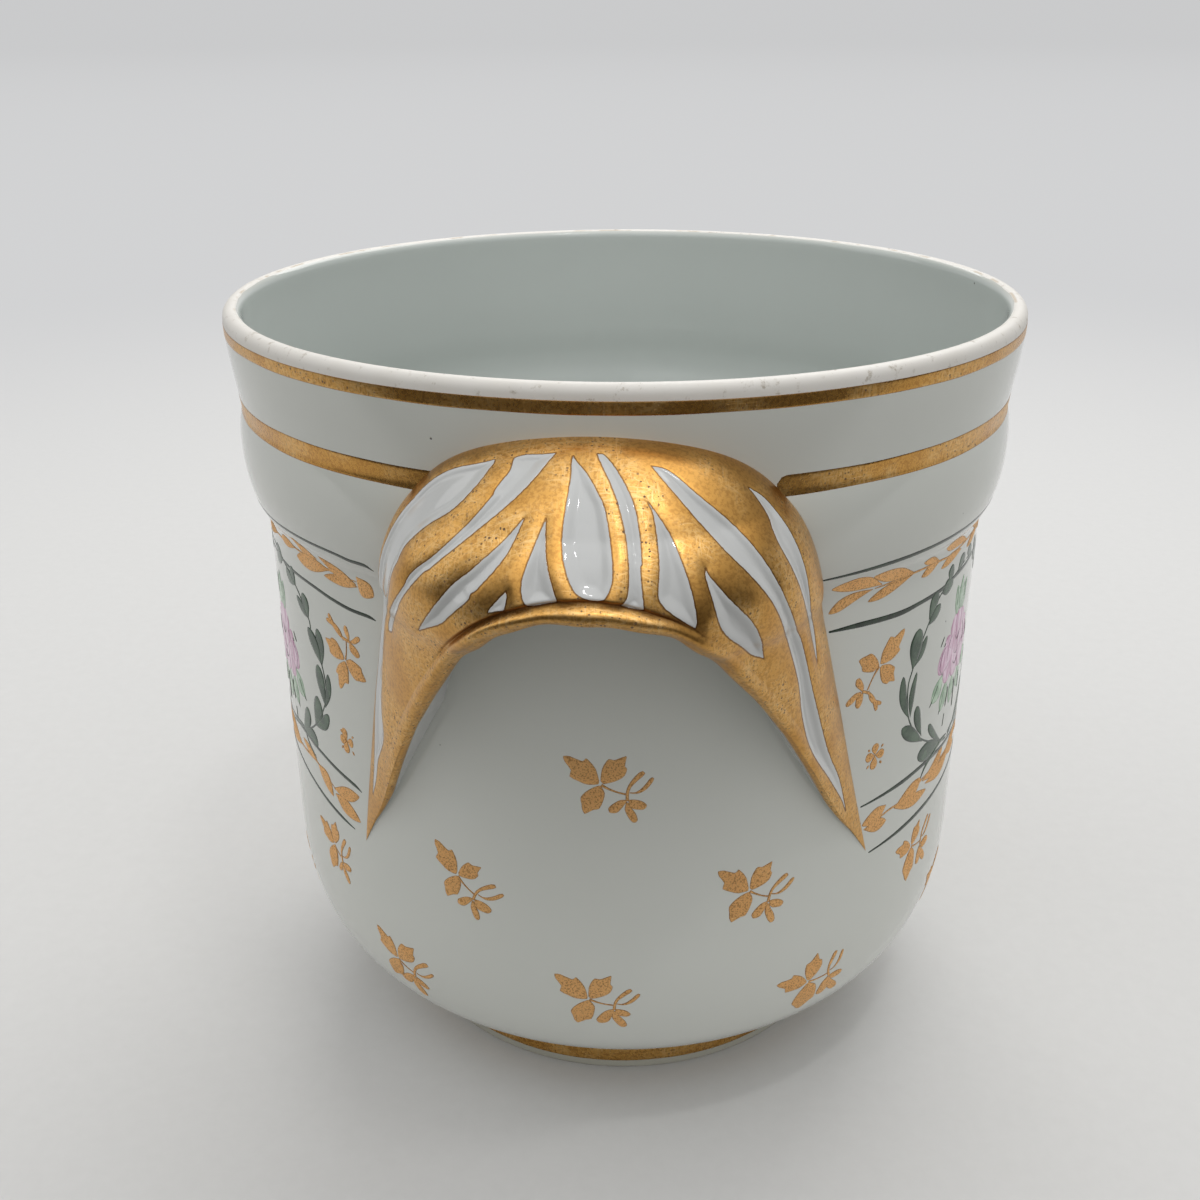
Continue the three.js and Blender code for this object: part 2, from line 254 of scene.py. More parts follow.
class Finish:
    """A material with one Principled shader. Its place is the piece's own coordinates."""

    def __init__(self, name):
        self.material = bpy.data.materials.new(name)
        self.material.use_nodes = True
        self.tree = self.material.node_tree
        self.shader = self.tree.nodes["Principled BSDF"]
        self.place = put("TexCoord", tree=self.tree)["Object"]

    def mark(self, label):
        """A per-point number of the piece."""
        return put("Attribute", {"attribute_name": label}, self.tree)["Fac"]

    def placed(self, effect, **sockets):
        """Outputs of an effect placed in this material."""
        return put("Group", {"node_tree": effect.tree}, Place=self.place, **sockets)

    def look(self, color, roughness, height=None, metres=0.0, **others):
        """The shader's colour, roughness and other sockets, and a bump so many metres high."""
        sockets = {"Base_Color": color, "Roughness": roughness, **others}
        if height is not None:
            sockets["Normal"] = put("Bump", Height=height, Distance=metres)[0]
        give(self.shader, sockets)


# Kiln glaze: iron specks, slow waves of the poured glaze and a fine orange-peel skin
kiln_glaze = Effect("kiln_glaze", {"Place": "Vector"},
                    {"Specks": "Float", "Cloud": "Float", "Height": "Float"})
place = kiln_glaze.given["Place"]
cells = put("TexVoronoi", Vector=place, Scale=95.0)
chosen = put("SeparateColor", Color=cells["Color"])[0]
specks = times(ramp(cells["Distance"], 0.024, 0.012), math("GREATER_THAN", chosen, 0.35))
skin = scaled(noise(place, 620.0, 1.0), 0.02, noise(place, 34.0))
give(kiln_glaze.result, {"Specks": specks, "Cloud": noise(place, 22.0, 4.0),
                         "Height": math("SUBTRACT", skin, specks)})

glaze_ior = 1.52
porcelain = Finish("glazed_porcelain")
glaze = porcelain.placed(kiln_glaze)
crest = porcelain.mark("crest")
wobble_of_edge = noise(porcelain.place, 120.0, 3.0)
off_lip = math("ADD", math("ABSOLUTE", math("ADD", crest, 1.3)), times(wobble_of_edge, 0.7))
bare = ramp(off_lip, 2.75, 2.35)
outer_glaze = mix(glaze["Cloud"], (0.59, 0.605, 0.555), (0.635, 0.645, 0.60))
inner_glaze = mix(glaze["Cloud"], (0.515, 0.55, 0.52), (0.565, 0.60, 0.57))
glazed = mix(ramp(crest, 0.8, 2.0), outer_glaze, inner_glaze)
cream = mix(wobble_of_edge, (0.70, 0.665, 0.60), (0.78, 0.755, 0.71))
grime = ramp(noise(porcelain.place, 420.0, 5.0, 0.7), 0.57, 0.72)
cream = mix(times(grime, 0.7), cream, (0.30, 0.24, 0.16))
worn_gilt = times(ramp(away_from(0.55, crest), 0.45, 0.1), ramp(wobble_of_edge, 0.52, 0.62))
cream = mix(times(worn_gilt, 0.6), cream, (0.42, 0.31, 0.17))
surface = mix(times(glaze["Specks"], 0.85), mix(bare, glazed, cream), (0.03, 0.025, 0.02))
porcelain.look(surface, scaled(bare, 0.42, 0.06), glaze["Height"], 0.00012, IOR=glaze_ior)

# Rings of points round the wall, closed by one point under the base and one on the floor
sides = 320
around = np.linspace(0, 2 * np.pi, sides, endpoint=False)
body_points = turned(rings[:, :1], around, rings[:, 1:]).reshape(-1, 3)
count = len(body_points)
body_points = np.vstack([body_points, [[0, 0, base_z], [0, 0, floor_z]]])
ring_index = np.arange(sides)
after = np.roll(ring_index, -1)
last = count - sides
body_faces = grid_faces(len(rings), sides, wrap_columns=True).tolist()
body_faces += np.stack([np.full(sides, count), after, ring_index], 1).tolist()
body_faces += np.stack([np.full(sides, count + 1), last + ring_index, last + after], 1).tolist()
far_outside, far_inside = -200, 200
body_marks = np.append(np.repeat(from_crest, sides), [far_outside, far_inside])
body = piece("body", body_points, body_faces, porcelain, {"crest": body_marks})
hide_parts("pot_body")

# Foot ring
# A low ring of the same clay, luted under the base. Its side is glazed with a gold band round
# the top, and the resting edge is ground bare.
foot_section = softened(
    run((40.8, 6.15), [(41.4, 0.7)], [(42.1, 0)], [(45.5, 0)], [(46.2, 0.7)], [(46.2, 6.15)]), 0.18)
foot_row_count = 60
foot_rows = at_lengths(foot_section, np.linspace(0, lengths(foot_section)[-1], foot_row_count))

foot_porcelain = Finish("foot_porcelain")
glaze = foot_porcelain.placed(kiln_glaze)
height = put("SeparateXYZ", Vector=foot_porcelain.place)["Z"]
grit = noise(foot_porcelain.place, 1500.0, 3.0)
ground = ramp(scaled(noise(foot_porcelain.place, 90.0), 0.0006, height), 0.0009, 0.0006)
clay = mix(grit, (0.42, 0.38, 0.31), (0.66, 0.62, 0.54))
# The glazed side is darker and browner than the body's glaze: partly a stain, partly painted shade
# for the shadow under the pot.
stained_and_shaded_glaze = mix(glaze["Cloud"], (0.34, 0.33, 0.27), (0.41, 0.40, 0.34))
foot_porcelain.look(mix(ground, stained_and_shaded_glaze, clay), scaled(ground, 0.55, 0.08), times(grit, ground),
                    0.0001, IOR=glaze_ior)
foot = piece("foot", turned(foot_rows[:, :1], around, foot_rows[:, 1:]),
             grid_faces(foot_row_count, sides, wrap_rows=True, wrap_columns=True).tolist(),
             foot_porcelain)
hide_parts("foot_ring")

# Shell handles
# Each is moulded as a fan of flutes that sweep from the crown to a rolled lip and two tails, and
# is luted to the wall. Ribs, border and lip are gilt, and the flutes and the inner side are white.
crown_z, rise, half_span, arch_drop, crown_share = 141.8, 84.3, 50.0, 19.6, 0.09
reach_mm, tip_reach, lip_thick, lip_roll, tail_edge, drift = 23.0, 2.0, 4.6, 1.2, 2.0, 2.0
arch = arch_drop / rise
outline_shares = [[0, 0], [0.35, 0.036], [0.57, 0.138], [0.696, 0.3], [0.82, 0.567],
                  [0.908, 0.78], [1, 1]]
edge_shares = [[0, arch], [0.152, arch + 0.026], [0.28, arch + 0.097], [0.44, arch + 0.246],
               [0.786, 0.82], [0.92, 0.93], [1, 1]]


def passing(points, where):
    """Smooth curve through points, at places counted in points from the first. The slope at a
    point is half the step between its two neighbours."""
    ends = np.vstack([2 * points[0] - points[1], points, 2 * points[-1] - points[-2]])
    i = np.clip(np.floor(where).astype(int), 0, len(points) - 2)
    t = (where - i)[..., None]
    before, a, b, beyond = ends[i], ends[i + 1], ends[i + 2], ends[i + 3]
    leave, arrive = (b - before) / 2, (beyond - a) / 2
    return (a + leave * t + (3 * (b - a) - 2 * leave - arrive) * t**2
            + (2 * (a - b) + leave + arrive) * t**3)


def mirrored(shares, along):
    """Half of a mirrored handle curve, from the middle at 0 to the tip at 1."""
    right = np.array(shares) * [half_span, -rise] + [0, crown_z]
    both = np.vstack([right[:0:-1] * [-1, 1], right])
    return passing(both, (len(shares) - 1) * (1 + np.asarray(along, float)))


def fan(side, along):
    """Place on the unrolled wall of a point of the fan: side runs from -1 to 1 round the arch,
    and along from 0 at the crown to 1 at the lip. It is a patch ruled between its four edges."""
    turn = np.abs(side)
    crown_edge, lip_edge = mirrored(outline_shares, crown_share * turn), mirrored(edge_shares, turn)
    middle = np.stack([0 * along, crown_z - arch_drop * along], -1)
    flank = mirrored(outline_shares, crown_share + (1 - crown_share) * along**0.9)
    b, v = np.stack([turn, turn**2], -1), along[..., None]
    ruled = (1 - v) * crown_edge + v * lip_edge + (1 - b) * middle + b * flank
    crown_0, crown_1 = mirrored(outline_shares, 0), mirrored(outline_shares, crown_share)
    lip_0, lip_1 = mirrored(edge_shares, 0), mirrored(edge_shares, 1)
    corners = (1 - b) * ((1 - v) * crown_0 + v * lip_0) + b * ((1 - v) * crown_1 + v * lip_1)
    return (ruled - corners) * np.stack([np.sign(side), 1 + 0 * side], -1)


half_steps = mirrored(outline_shares, np.linspace(0, 1, 600))


def shell(place):
    """How far the plain shell stands off the wall: domed across, full at the lip, thin at the
    tips, and rounded over to the crown."""
    height = place[..., 1]
    lip_height = crown_z - arch_drop - lip_roll
    up = np.clip((height - crown_z + rise) / (lip_height - crown_z + rise), 0, 1)
    above = np.clip((height - lip_height) / (crown_z - lip_height), 0, 1)
    ridge = np.where(above > 0, reach_mm * (1 - above**1.6) ** 0.7,
                     tip_reach + (reach_mm - tip_reach) * (up - 0.12 * up**8) / 0.88)
    half = np.maximum(np.interp(-height, -half_steps[:, 1], half_steps[:, 0]), 1e-3)
    across = np.minimum(np.abs(place[..., 0]) / half, 1)
    return ridge * (1 - across**2) ** 0.8


def off_wall(place, reach):
    """Point in space from a place on the unrolled wall and a reach off it."""
    drop = np.maximum((crown_z - place[..., 1]) / rise, 0)
    radius = np.interp(place[..., 1], wall[:, 1], wall[:, 0]) + reach
    return turned(radius, (place[..., 0] + drift * drop**3) / middle_radius, place[..., 1])


# White flutes as outlines in the fan, in thousandths of (side, along). Each is a ring of strokes
# from corner to corner, and a stroke starts where the one before it ends
flutes = [
    [[-907, 127, -893, 320, -921, 480, -920, 600, -860, 790, -861, 911], [-808, 886, -779, 835,
     -719, 812, -702, 791, -709, 758, -754, 665, -759, 612, -782, 523, -784, 482, -700, 434,
     -688, 405, -699, 333, -695, 311, -703, 268, -666, 217, -606, 202, -592, 169, -624, 111,
     -706, 65, -757, 52]],
    [[-429, 65, -274, 62], [-274, 175, -323, 290, -424, 382, -522, 421, -548, 417, -601, 449,
     -616, 471, -662, 485, -673, 506], [-713, 498], [-713, 480, -639, 434, -602, 408, -597, 386,
     -579, 375, -526, 374, -461, 320, -431, 240, -444, 206, -464, 129, -544, 75, -623, 45]],
    [[-275, 470, -351, 538, -411, 561, -519, 645], [-446, 708, -419, 724], [-333, 693, -323, 663,
     -297, 647, -239, 540, -226, 374]],
    [[-236, 809, -243, 831], [-215, 842, -190, 859], [-192, 775, -198, 736]],
    [[-156, 682, -144, 810, -124, 881], [-65, 877, -60, 854], [-104, 596, -140, 386]],
    [[-84, 195, -73, 440, -57, 606, -20, 803, 18, 859, 41, 855, 57, 814, 73, 680, 68, 385, 41, 261,
     -19, 153, -127, 73]],
    [[103, 75, 152, 158, 177, 336, 157, 581, 148, 631, 140, 870], [114, 882, 87, 877], [110, 759,
     124, 425, 100, 206, 48, 64]],
    [[287, 411, 298, 545, 297, 772, 284, 862], [237, 845, 197, 802, 191, 712, 244, 384, 241, 283]],
    [[386, 524, 434, 572, 488, 604, 511, 672, 517, 750], [481, 791, 453, 789, 377, 766, 367, 559,
     383, 497]],
    [[466, 120, 509, 191, 597, 277, 628, 465, 656, 515, 661, 642, 683, 767, 707, 815, 761, 862,
     772, 950], [741, 921, 669, 904, 611, 906, 599, 810, 605, 671, 597, 558, 587, 532, 571, 458,
     541, 416, 485, 377, 417, 292, 379, 175, 377, 107]],
    [[862, 198, 749, 400, 744, 434, 768, 477, 737, 544], [732, 461, 710, 418, 722, 272, 757, 223,
     798, 199, 854, 137]],
]


def flute_depth(side, along, points):
    """Distance in space of shell points from the nearest flute's edge: above 0 in a flute and
    below 0 on the ribs. Inside is found by counting the edges crossed across the fan."""
    signed = np.full(side.shape, -50.0)
    for flute in flutes:
        strokes = [np.reshape(stretch, (-1, 2)) / 1000 for stretch in flute]
        ring = []
        for before, stretch in zip(strokes[-1:] + strokes, strokes):
            stretch = np.vstack([before[-1:], stretch])
            steps = len(stretch) - 1
            ring.append(passing(stretch, np.linspace(0, steps, 8 * steps + 1)))
        ring = np.concatenate(ring)
        low, high = ring.min(0) - 0.2, ring.max(0) + 0.2
        near = (side > low[0]) & (side < high[0]) & (along > low[1]) & (along < high[1])
        place = fan(ring[:, 0], ring[:, 1])
        edge = off_wall(place, shell(place))
        edge = edge[np.append(True, np.abs(np.diff(edge, axis=0)).sum(1) > 1e-6)]
        a, b = edge[:-1], edge[1:]
        point = points[near][:, None]
        t = np.clip(((point - a) * (b - a)).sum(-1) / ((b - a) ** 2).sum(-1), 0, 1)
        far = np.linalg.norm(point - a - t[..., None] * (b - a), axis=-1).min(1)
        s, v = side[near][:, None], along[near][:, None]
        (s0, v0), (s1, v1) = ring.T, np.roll(ring, -1, axis=0).T
        crossed = ((v0 > v) != (v1 > v)) & (s < s0 + (v - v0) * (s1 - s0) / (v1 - v0 + 1e-12))
        inside = crossed.sum(1) % 2 == 1
        signed[near] = np.maximum(signed[near], np.where(inside, far, -far))
    return signed


def fading(value, start, over):
    """1 up to a start, and down in a straight line to 0 over a stretch after it."""
    return np.clip((start + over - value) / over, 0, 1)


# The outer side: flutes sunk in, ribs raised between them, and a bead and a crease along the lip
columns, shell_rows, roll_rows, pocket_rows, back_rows = 381, 151, 15, 15, 8
side = np.linspace(-1, 1, columns)
u, v = np.meshgrid(side, np.linspace(0, 1, shell_rows), indexing="ij")
place = fan(u, v)
plain = shell(place)
depth = flute_depth(u, v, off_wall(place, plain))
hollow = np.clip(depth / 1.9, 0, 1)
hollow = hollow * hollow * (3 - 2 * hollow)
rib = 1 - np.exp(np.minimum(depth, 0) / 1.1)
bead = np.sin(np.pi * np.clip((v - 0.88) / 0.12, 0, 1)) * fading(np.abs(u), 0.47, 0.25)
crease = np.exp(-(((v - 0.885) / 0.022) ** 2)) * fading(np.abs(u + 0.1), 0.2, 0.22)
lumps = 0.3 * np.sin(19 * side + 0.8) + 0.16 * np.sin(41 * side + 2.1)
lumps *= fading(np.abs(side), 0.45, 0.3)
open_share = np.minimum(1, 4 * plain / reach_mm)
relief = open_share * (0.55 * bead - 0.9 * crease - 0.85 * hollow + 0.4 * rib)
relief += lumps[:, None] * np.clip((v - 0.8) / 0.2, 0, 1) ** 2
outside = off_wall(place, plain + relief)

# The lip rolls under, the pocket is hollow behind it, and the back lies just inside the wall
edge = fan(side, np.ones(columns))
turn_share = np.abs(side)
before = mirrored(edge_shares, turn_share - 0.01)
beyond = mirrored(edge_shares, np.minimum(turn_share + 0.01, 1))
inward = np.stack([beyond[:, 1] - before[:, 1], before[:, 0] - beyond[:, 0]], -1)
inward /= np.linalg.norm(inward, axis=1, keepdims=True)
inward[:, 0] *= np.where(side < 0, -1, 1)
edge_reach = shell(edge) + lumps
lip_part = np.sqrt(np.maximum(0, 1 - (turn_share / 0.55) ** 2))
thick = np.minimum(tail_edge + (lip_thick - tail_edge) * lip_part, 0.7 * edge_reach)
angle = np.pi * np.arange(1, roll_rows + 1) / roll_rows
roll_out = (lip_roll + 0.8 * lumps) * thick / lip_thick
roll_place = edge[:, None] + roll_out[:, None, None] * inward[:, None] * np.sin(angle)[:, None]
rolled = off_wall(roll_place, edge_reach[:, None] - thick[:, None] * (1 - np.cos(angle)) / 2)
pocket_end = 1 - 0.5 * lip_part[:, None]
angle_in = np.pi / 2 * np.arange(1, pocket_rows + 1) / pocket_rows
pocket_place = fan(side[:, None] + 0 * angle_in, 1 - (1 - pocket_end) * np.sin(angle_in))
pocket_reach = (edge_reach - thick)[:, None] * np.cos(angle_in)
pocket = off_wall(pocket_place, pocket_reach - 0.6 * (angle_in / np.pi * 2) ** 4)
back_along = pocket_end * np.linspace(1, 0, back_rows)
back_place = fan(side[:, None] + 0 * back_along, back_along)
back = off_wall(back_place, -1.8)
loops = np.concatenate([outside, rolled, pocket, back], 1)
tips = np.concatenate([place, roll_place, pocket_place, back_place], 1)[[0, -1]]
loops[[0, -1]] = off_wall(tips, -0.5)
loops[[0, -1], -back_rows:] = back[[0, -1]]

size = loops.shape[1]
handle_faces = grid_faces(columns, size, wrap_columns=True)[:, ::-1].tolist()
handle_faces += [list(range(size)), list(range((columns - 1) * size, columns * size))[::-1]]
roll_white = np.repeat(((angle - 2.1) * 1.6)[None], columns, 0)
white = np.concatenate([depth, roll_white, np.full((columns, pocket_rows + back_rows), 3.0)], 1)
# A number per point for the gilt: 0.35 of wear all over, more near the lip's left end, and a high
# ridge along the crease above the lip, which the material paints as a dark brown line of painted
# shade.
wear_and_crease_shade = 0.35 + 0.5 * np.exp(-(((v - 0.95) / 0.1) ** 2) - ((u + 0.72) / 0.16) ** 2)
wear_and_crease_shade += 1.3 * np.exp(-(((v - 0.87) / 0.028) ** 2)) * fading(np.abs(u + 0.05), 0.25, 0.25)
wear_and_crease_shade = np.concatenate([wear_and_crease_shade, np.full((columns, size - shell_rows), 0.7)], 1)

# Burnished gilt: slow shifts of tone, dust burnt in as pits, and rubbing marks in three directions,
# whose lighter gold is a painted glint
burnished_gilt = Effect(
    "burnished_gilt", {"Place": "Vector", "Wear": "Float"},
    {"Color": "Color", "Roughness": "Float", "Metallic": "Float", "Height": "Float"})
place = burnished_gilt.given["Place"]
tone, patch = noise(place, 1700.0, 4.0, 0.6), noise(place, 110.0, 3.0)
scratches = []
for stretch, lean in (((110.0, 1500.0, 240.0), (0.4, 0.3, 0.7)),
                      ((1500.0, 130.0, 260.0), (-0.3, 0.5, 0.2)),
                      ((260.0, 140.0, 1400.0), (0.2, 0.6, -0.4))):
    drawn = put("Mapping", Vector=place, Scale=stretch, Rotation=lean)[0]
    scratches.append(ramp(away_from(0.5, noise(drawn, 1.0, 1.0)), 0.03, 0.008))
rubbing_and_glints = math("MAXIMUM", math("MAXIMUM", *scratches[:2]), scratches[2])
rubbing_and_glints = times(rubbing_and_glints, ramp(patch, 0.4, 0.64))
grains = put("TexVoronoi", Vector=place, Scale=1900.0)
luck = put("SeparateColor", Color=grains["Color"])[0]
grain_size = math("SUBTRACT", grains["Distance"], times(math("POWER", luck, 3.0), 0.42))
worn_patch = scaled(burnished_gilt.given["Wear"], 0.16, patch)
pit = times(ramp(grain_size, 0.06, -0.06), ramp(worn_patch, 0.46, 0.7))
gold = mix(ramp(patch, 0.3, 0.7), (0.57, 0.30, 0.075), (0.70, 0.40, 0.12))
gold = mix(times(ramp(tone, 0.56, 0.38), 0.52), gold, (0.34, 0.16, 0.042))
# Painted glints: the rubbing marks are coloured a lighter gold.
gold = mix(times(rubbing_and_glints, 0.42), gold, (0.86, 0.62, 0.30))
dull = ramp(worn_patch, 0.5, 0.8)
skin = math("SUBTRACT", times(tone, 0.5), pit)
give(burnished_gilt.result, {
    "Color": mix(times(pit, 0.85), gold, (0.07, 0.03, 0.01)),
    "Roughness": scaled(dull, 0.12, scaled(tone, 0.14, 0.2)),
    "Metallic": scaled(pit, -0.8, 1.0), "Height": scaled(rubbing_and_glints, -0.35, skin)})

handle_finish = Finish("gilt_and_white_shell")
glaze = handle_finish.placed(kiln_glaze)
gilt = handle_finish.placed(burnished_gilt, Wear=handle_finish.mark("wear"))
ragged = math("SUBTRACT", noise(handle_finish.place, 1300.0, 3.0), 0.5)
border = scaled(ragged, 0.22, handle_finish.mark("white"))
clear = ramp(border, -0.04, 0.04)
# Painted shade: a thin dark brown line along the gilt side of every edge between gilt and white,
# for the shade in the step between a rib and a flute.
edge_line_shade = ramp(math("ABSOLUTE", math("ADD", border, 0.06)), 0.24, 0.06)
# Painted shade: where that number is high, mostly in the crease above the lip, the gilt darkens to
# deep brown.
crease_shade = times(ramp(handle_finish.mark("wear"), 0.7, 1.5), 0.75)
gilt_color = mix(crease_shade, gilt["Color"], (0.22, 0.10, 0.03))
gilt_color = mix(times(edge_line_shade, 0.75), gilt_color, (0.13, 0.055, 0.02))
white_glaze = mix(glaze["Cloud"], (0.56, 0.565, 0.55), (0.63, 0.635, 0.62))
gilt_share = math("SUBTRACT", 1.0, clear)
gilt_bump = put("Bump", Height=times(gilt["Height"], gilt_share), Distance=0.00002)[0]
edge_bump = put("Bump", Height=gilt_share, Distance=0.00004, Normal=gilt_bump)[0]
handle_finish.look(mix(clear, gilt_color, white_glaze), scaled(gilt["Roughness"], gilt_share, 0.06),
                   Metallic=times(gilt["Metallic"], gilt_share), Normal=edge_bump, IOR=glaze_ior)

for name, spin in (("front", 0), ("back", np.pi)):
    c, s = np.cos(spin), np.sin(spin)
    handle = piece("shell_handle_" + name, loops @ np.array([[c, s, 0], [-s, c, 0], [0, 0, 1]]),
                   handle_faces, handle_finish, {"white": white, "wear": wear_and_crease_shade})
    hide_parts("handle_" + name)

# Gold bands
# Brushed round the lip, the waist and the foot while the pot turned on a wheel. The band at the
# waist stops at each handle, and its right-hand start is the round mark of the brush.
gilt_film = Finish("gilt_film")
gilt = gilt_film.placed(burnished_gilt, Wear=0.3)
# Painted shade: a dark brown rim round the edge of each band, for the shade of its raised edge.
raised_edge_shade = times(ramp(gilt_film.mark("rim"), 0.6, 0.05), 0.7)
gilt_film.look(mix(raised_edge_shade, gilt["Color"], (0.17, 0.075, 0.03)), gilt["Roughness"],
               gilt["Height"], 0.000025, Metallic=gilt["Metallic"])


def flattened(angle, arc):
    """Places on the wall as mm round it and mm up it."""
    return np.stack([angle * mm_per_degree, arc], -1)


def rounded(grid):
    """Angles and arcs of places in mm round the wall and up it."""
    return grid[..., 0] / mm_per_degree, grid[..., 1]


def film_piece(name, skins, finish, thick=0.05):
    """One piece from skins of paint and their twins half a turn on, each a pair of grids of angle
    and arc. A skin is a closed pillow: its height over the glaze grows with the root of the way in
    from its edge, to full height 0.12 mm in, and each skin lies a hair over the one before it.
    Rim marks grow from 0 at the edge to 1 at 0.4 mm inside it."""
    slope_mm, rim_mm, hair, sunk, under_mm, far_in = 0.12, 0.4, 0.003, 0.02, 0.09, 9.0
    points, faces, marks, start = [], [], [], 0
    for k, (angle, arc) in enumerate((a + spin, arc) for a, arc in skins for spin in (0, 180)):
        flat = flattened(angle, arc)
        edge = np.full(angle.shape, far_in)
        for line in (flat[:1], flat[-1:], flat[:, :1], flat[:, -1:]):
            edge = np.minimum(edge, np.linalg.norm(flat - line, axis=-1))
        full = thick + hair * (k % 12)
        top = on_wall(angle, arc, -sunk + (full + sunk) * np.sqrt(np.minimum(edge / slope_mm, 1)))
        under = on_wall(angle, arc, -under_mm)
        index = np.arange(angle.size).reshape(angle.shape)
        lower = index + angle.size
        lower[[0, -1]], lower[:, [0, -1]] = index[[0, -1]], index[:, [0, -1]]
        quads = grid_faces(*angle.shape)
        slant, other = flat[1:, 1:] - flat[:-1, :-1], flat[:-1, 1:] - flat[1:, :-1]
        if (slant[..., 0] * other[..., 1] - slant[..., 1] * other[..., 0]).sum() < 0:
            quads = quads[:, ::-1]
        points += [top.reshape(-1, 3), under.reshape(-1, 3)]
        faces += [start + quads[:, ::-1], start + lower.ravel()[quads]]
        marks.append(np.tile(np.clip(edge / rim_mm, 0, 1).ravel(), 2))
        start += 2 * angle.size
    points, faces, marks = np.concatenate(points), np.concatenate(faces), np.concatenate(marks)
    used, renumbered = np.unique(faces, return_inverse=True)
    faces = renumbered.reshape(faces.shape).tolist()
    piece(name, points[used], faces, finish, {"rim": marks[used]}, crease=50)


def wobble(angle, seed):
    """Slow unevenness of a hand on a turning wheel: a few waves round the pot, about 1 high."""
    waves = np.random.default_rng(seed).uniform(0, 2 * np.pi, 4)
    turns = np.array([5, 9, 16, 27])
    return (np.sin(np.radians(angle)[..., None] * turns + waves) * [0.45, 0.3, 0.2, 0.15]).sum(-1)


def band(first, last, low, high, seed, round_start=0.0, rows=9):
    """A brushed stripe between two angles and two heights. Its start is rounded over
    round_start mm, as a quarter circle is."""
    angle = np.linspace(first, last, int((last - first) * 1.5))
    full = 1 + 0 * angle
    if round_start:
        start_share = np.minimum((angle - first) * mm_per_degree / round_start, 1)
        full = np.sqrt(np.clip(1 - (1 - start_share) ** 2, 0.002, 1))
    middle = arc_at((low + high) / 2) + 0.06 * wobble(angle, seed)
    half = (arc_at(high) - arc_at(low)) / 2 * (1 + 0.05 * wobble(angle, seed + 1)) * full
    across = np.sort(np.append(np.linspace(-1, 1, rows), [-0.95, 0.95]))
    return np.repeat(angle[:, None], len(across), 1), middle[:, None] + half[:, None] * across


waist, lip = band(21.6, 161, 130.7, 134.3, 11, 1.8), band(-90.2, 90.2, 145.1, 147.2, 21)
film_piece("waist_band", [waist], gilt_film)
film_piece("lip_band", [lip], gilt_film)

# The foot's band is a closed sleeve, its columns round the foot and its rows out and back in
foot_angle = np.arange(360)
foot_arc = np.array([2.1, 2.3, 2.9, 3.4, 4.0, 4.6, 5.2, 5.7, 5.9])[:, None]
foot_lift = np.array([-0.02, 0.04, 0.05, 0.05, 0.05, 0.05, 0.05, 0.04, -0.02])[:, None]
foot_z = foot_arc + 0.07 * wobble(foot_angle, 31) * np.linspace(1, 0, 9)[:, None]
foot_band = turned(np.concatenate([46.2 + foot_lift, 46.1 + 0 * foot_lift]), np.radians(foot_angle),
                   np.concatenate([foot_z, foot_z[::-1]]))
foot_rim = np.repeat([0, 0.5, 1, 1, 1, 1, 1, 0.5, 0] * 2, 360)
piece("foot_band", foot_band, grid_faces(18, 360, wrap_rows=True, wrap_columns=True).tolist(),
      gilt_film, {"rim": foot_rim}, crease=50)


# Green lines
# Four fine strokes of dark green enamel on each broad side, in two pairs that hold the garlands
# between them. Each is thin where the brush came down and left.
def enamel(name, lumps, deep, pale, gloss, reach=0.7, rim=None, relief=0.0, squeeze=1.0):
    """Glassy paint: its tone goes from deep to pale with a noise of that scale, detail and
    roughness, squeezed in height. Rim is a share, a reach and a colour for its edge."""
    finish = Finish(name)
    place = finish.place
    if squeeze != 1.0:
        place = put("Mapping", Vector=place, Scale=(1.0, 1.0, squeeze))[0]
    pooled = noise(place, *lumps)
    color = mix(ramp(pooled, 0.35, reach), deep, pale)
    if rim:
        share, rim_reach, rim_color = rim
        at_rim = times(ramp(finish.mark("rim"), 0.9, rim_reach), share)
        color = mix(at_rim, color, rim_color)
    finish.look(color, scaled(pooled, *gloss), pooled if relief else None, relief)
    return finish


def stroke(points, widths, count=16, rows=7):
    """A brush stroke in mm along a smooth line through points, with half widths given at them."""
    points = np.reshape(points, (-1, 2))
    where = np.linspace(0, len(points) - 1, count)
    line = passing(points, where)
    along = np.gradient(line, axis=0)
    along /= np.linalg.norm(along, axis=1, keepdims=True)
    square = np.stack([-along[:, 1], along[:, 0]], -1)
    half = np.interp(where, range(len(points)), widths)
    across = np.sort(np.append(np.linspace(-1, 1, rows - 2), [-0.93, 0.93]))
    return line[:, None] + square[:, None] * (half[:, None] * across)[..., None]


def line_on_wall(points, widths, count=16):
    """A brush stroke through places (angle, arc) on the wall, half widths in mm."""
    return rounded(stroke(np.reshape(points, (-1, 2)) * [mm_per_degree, 1], widths, count))


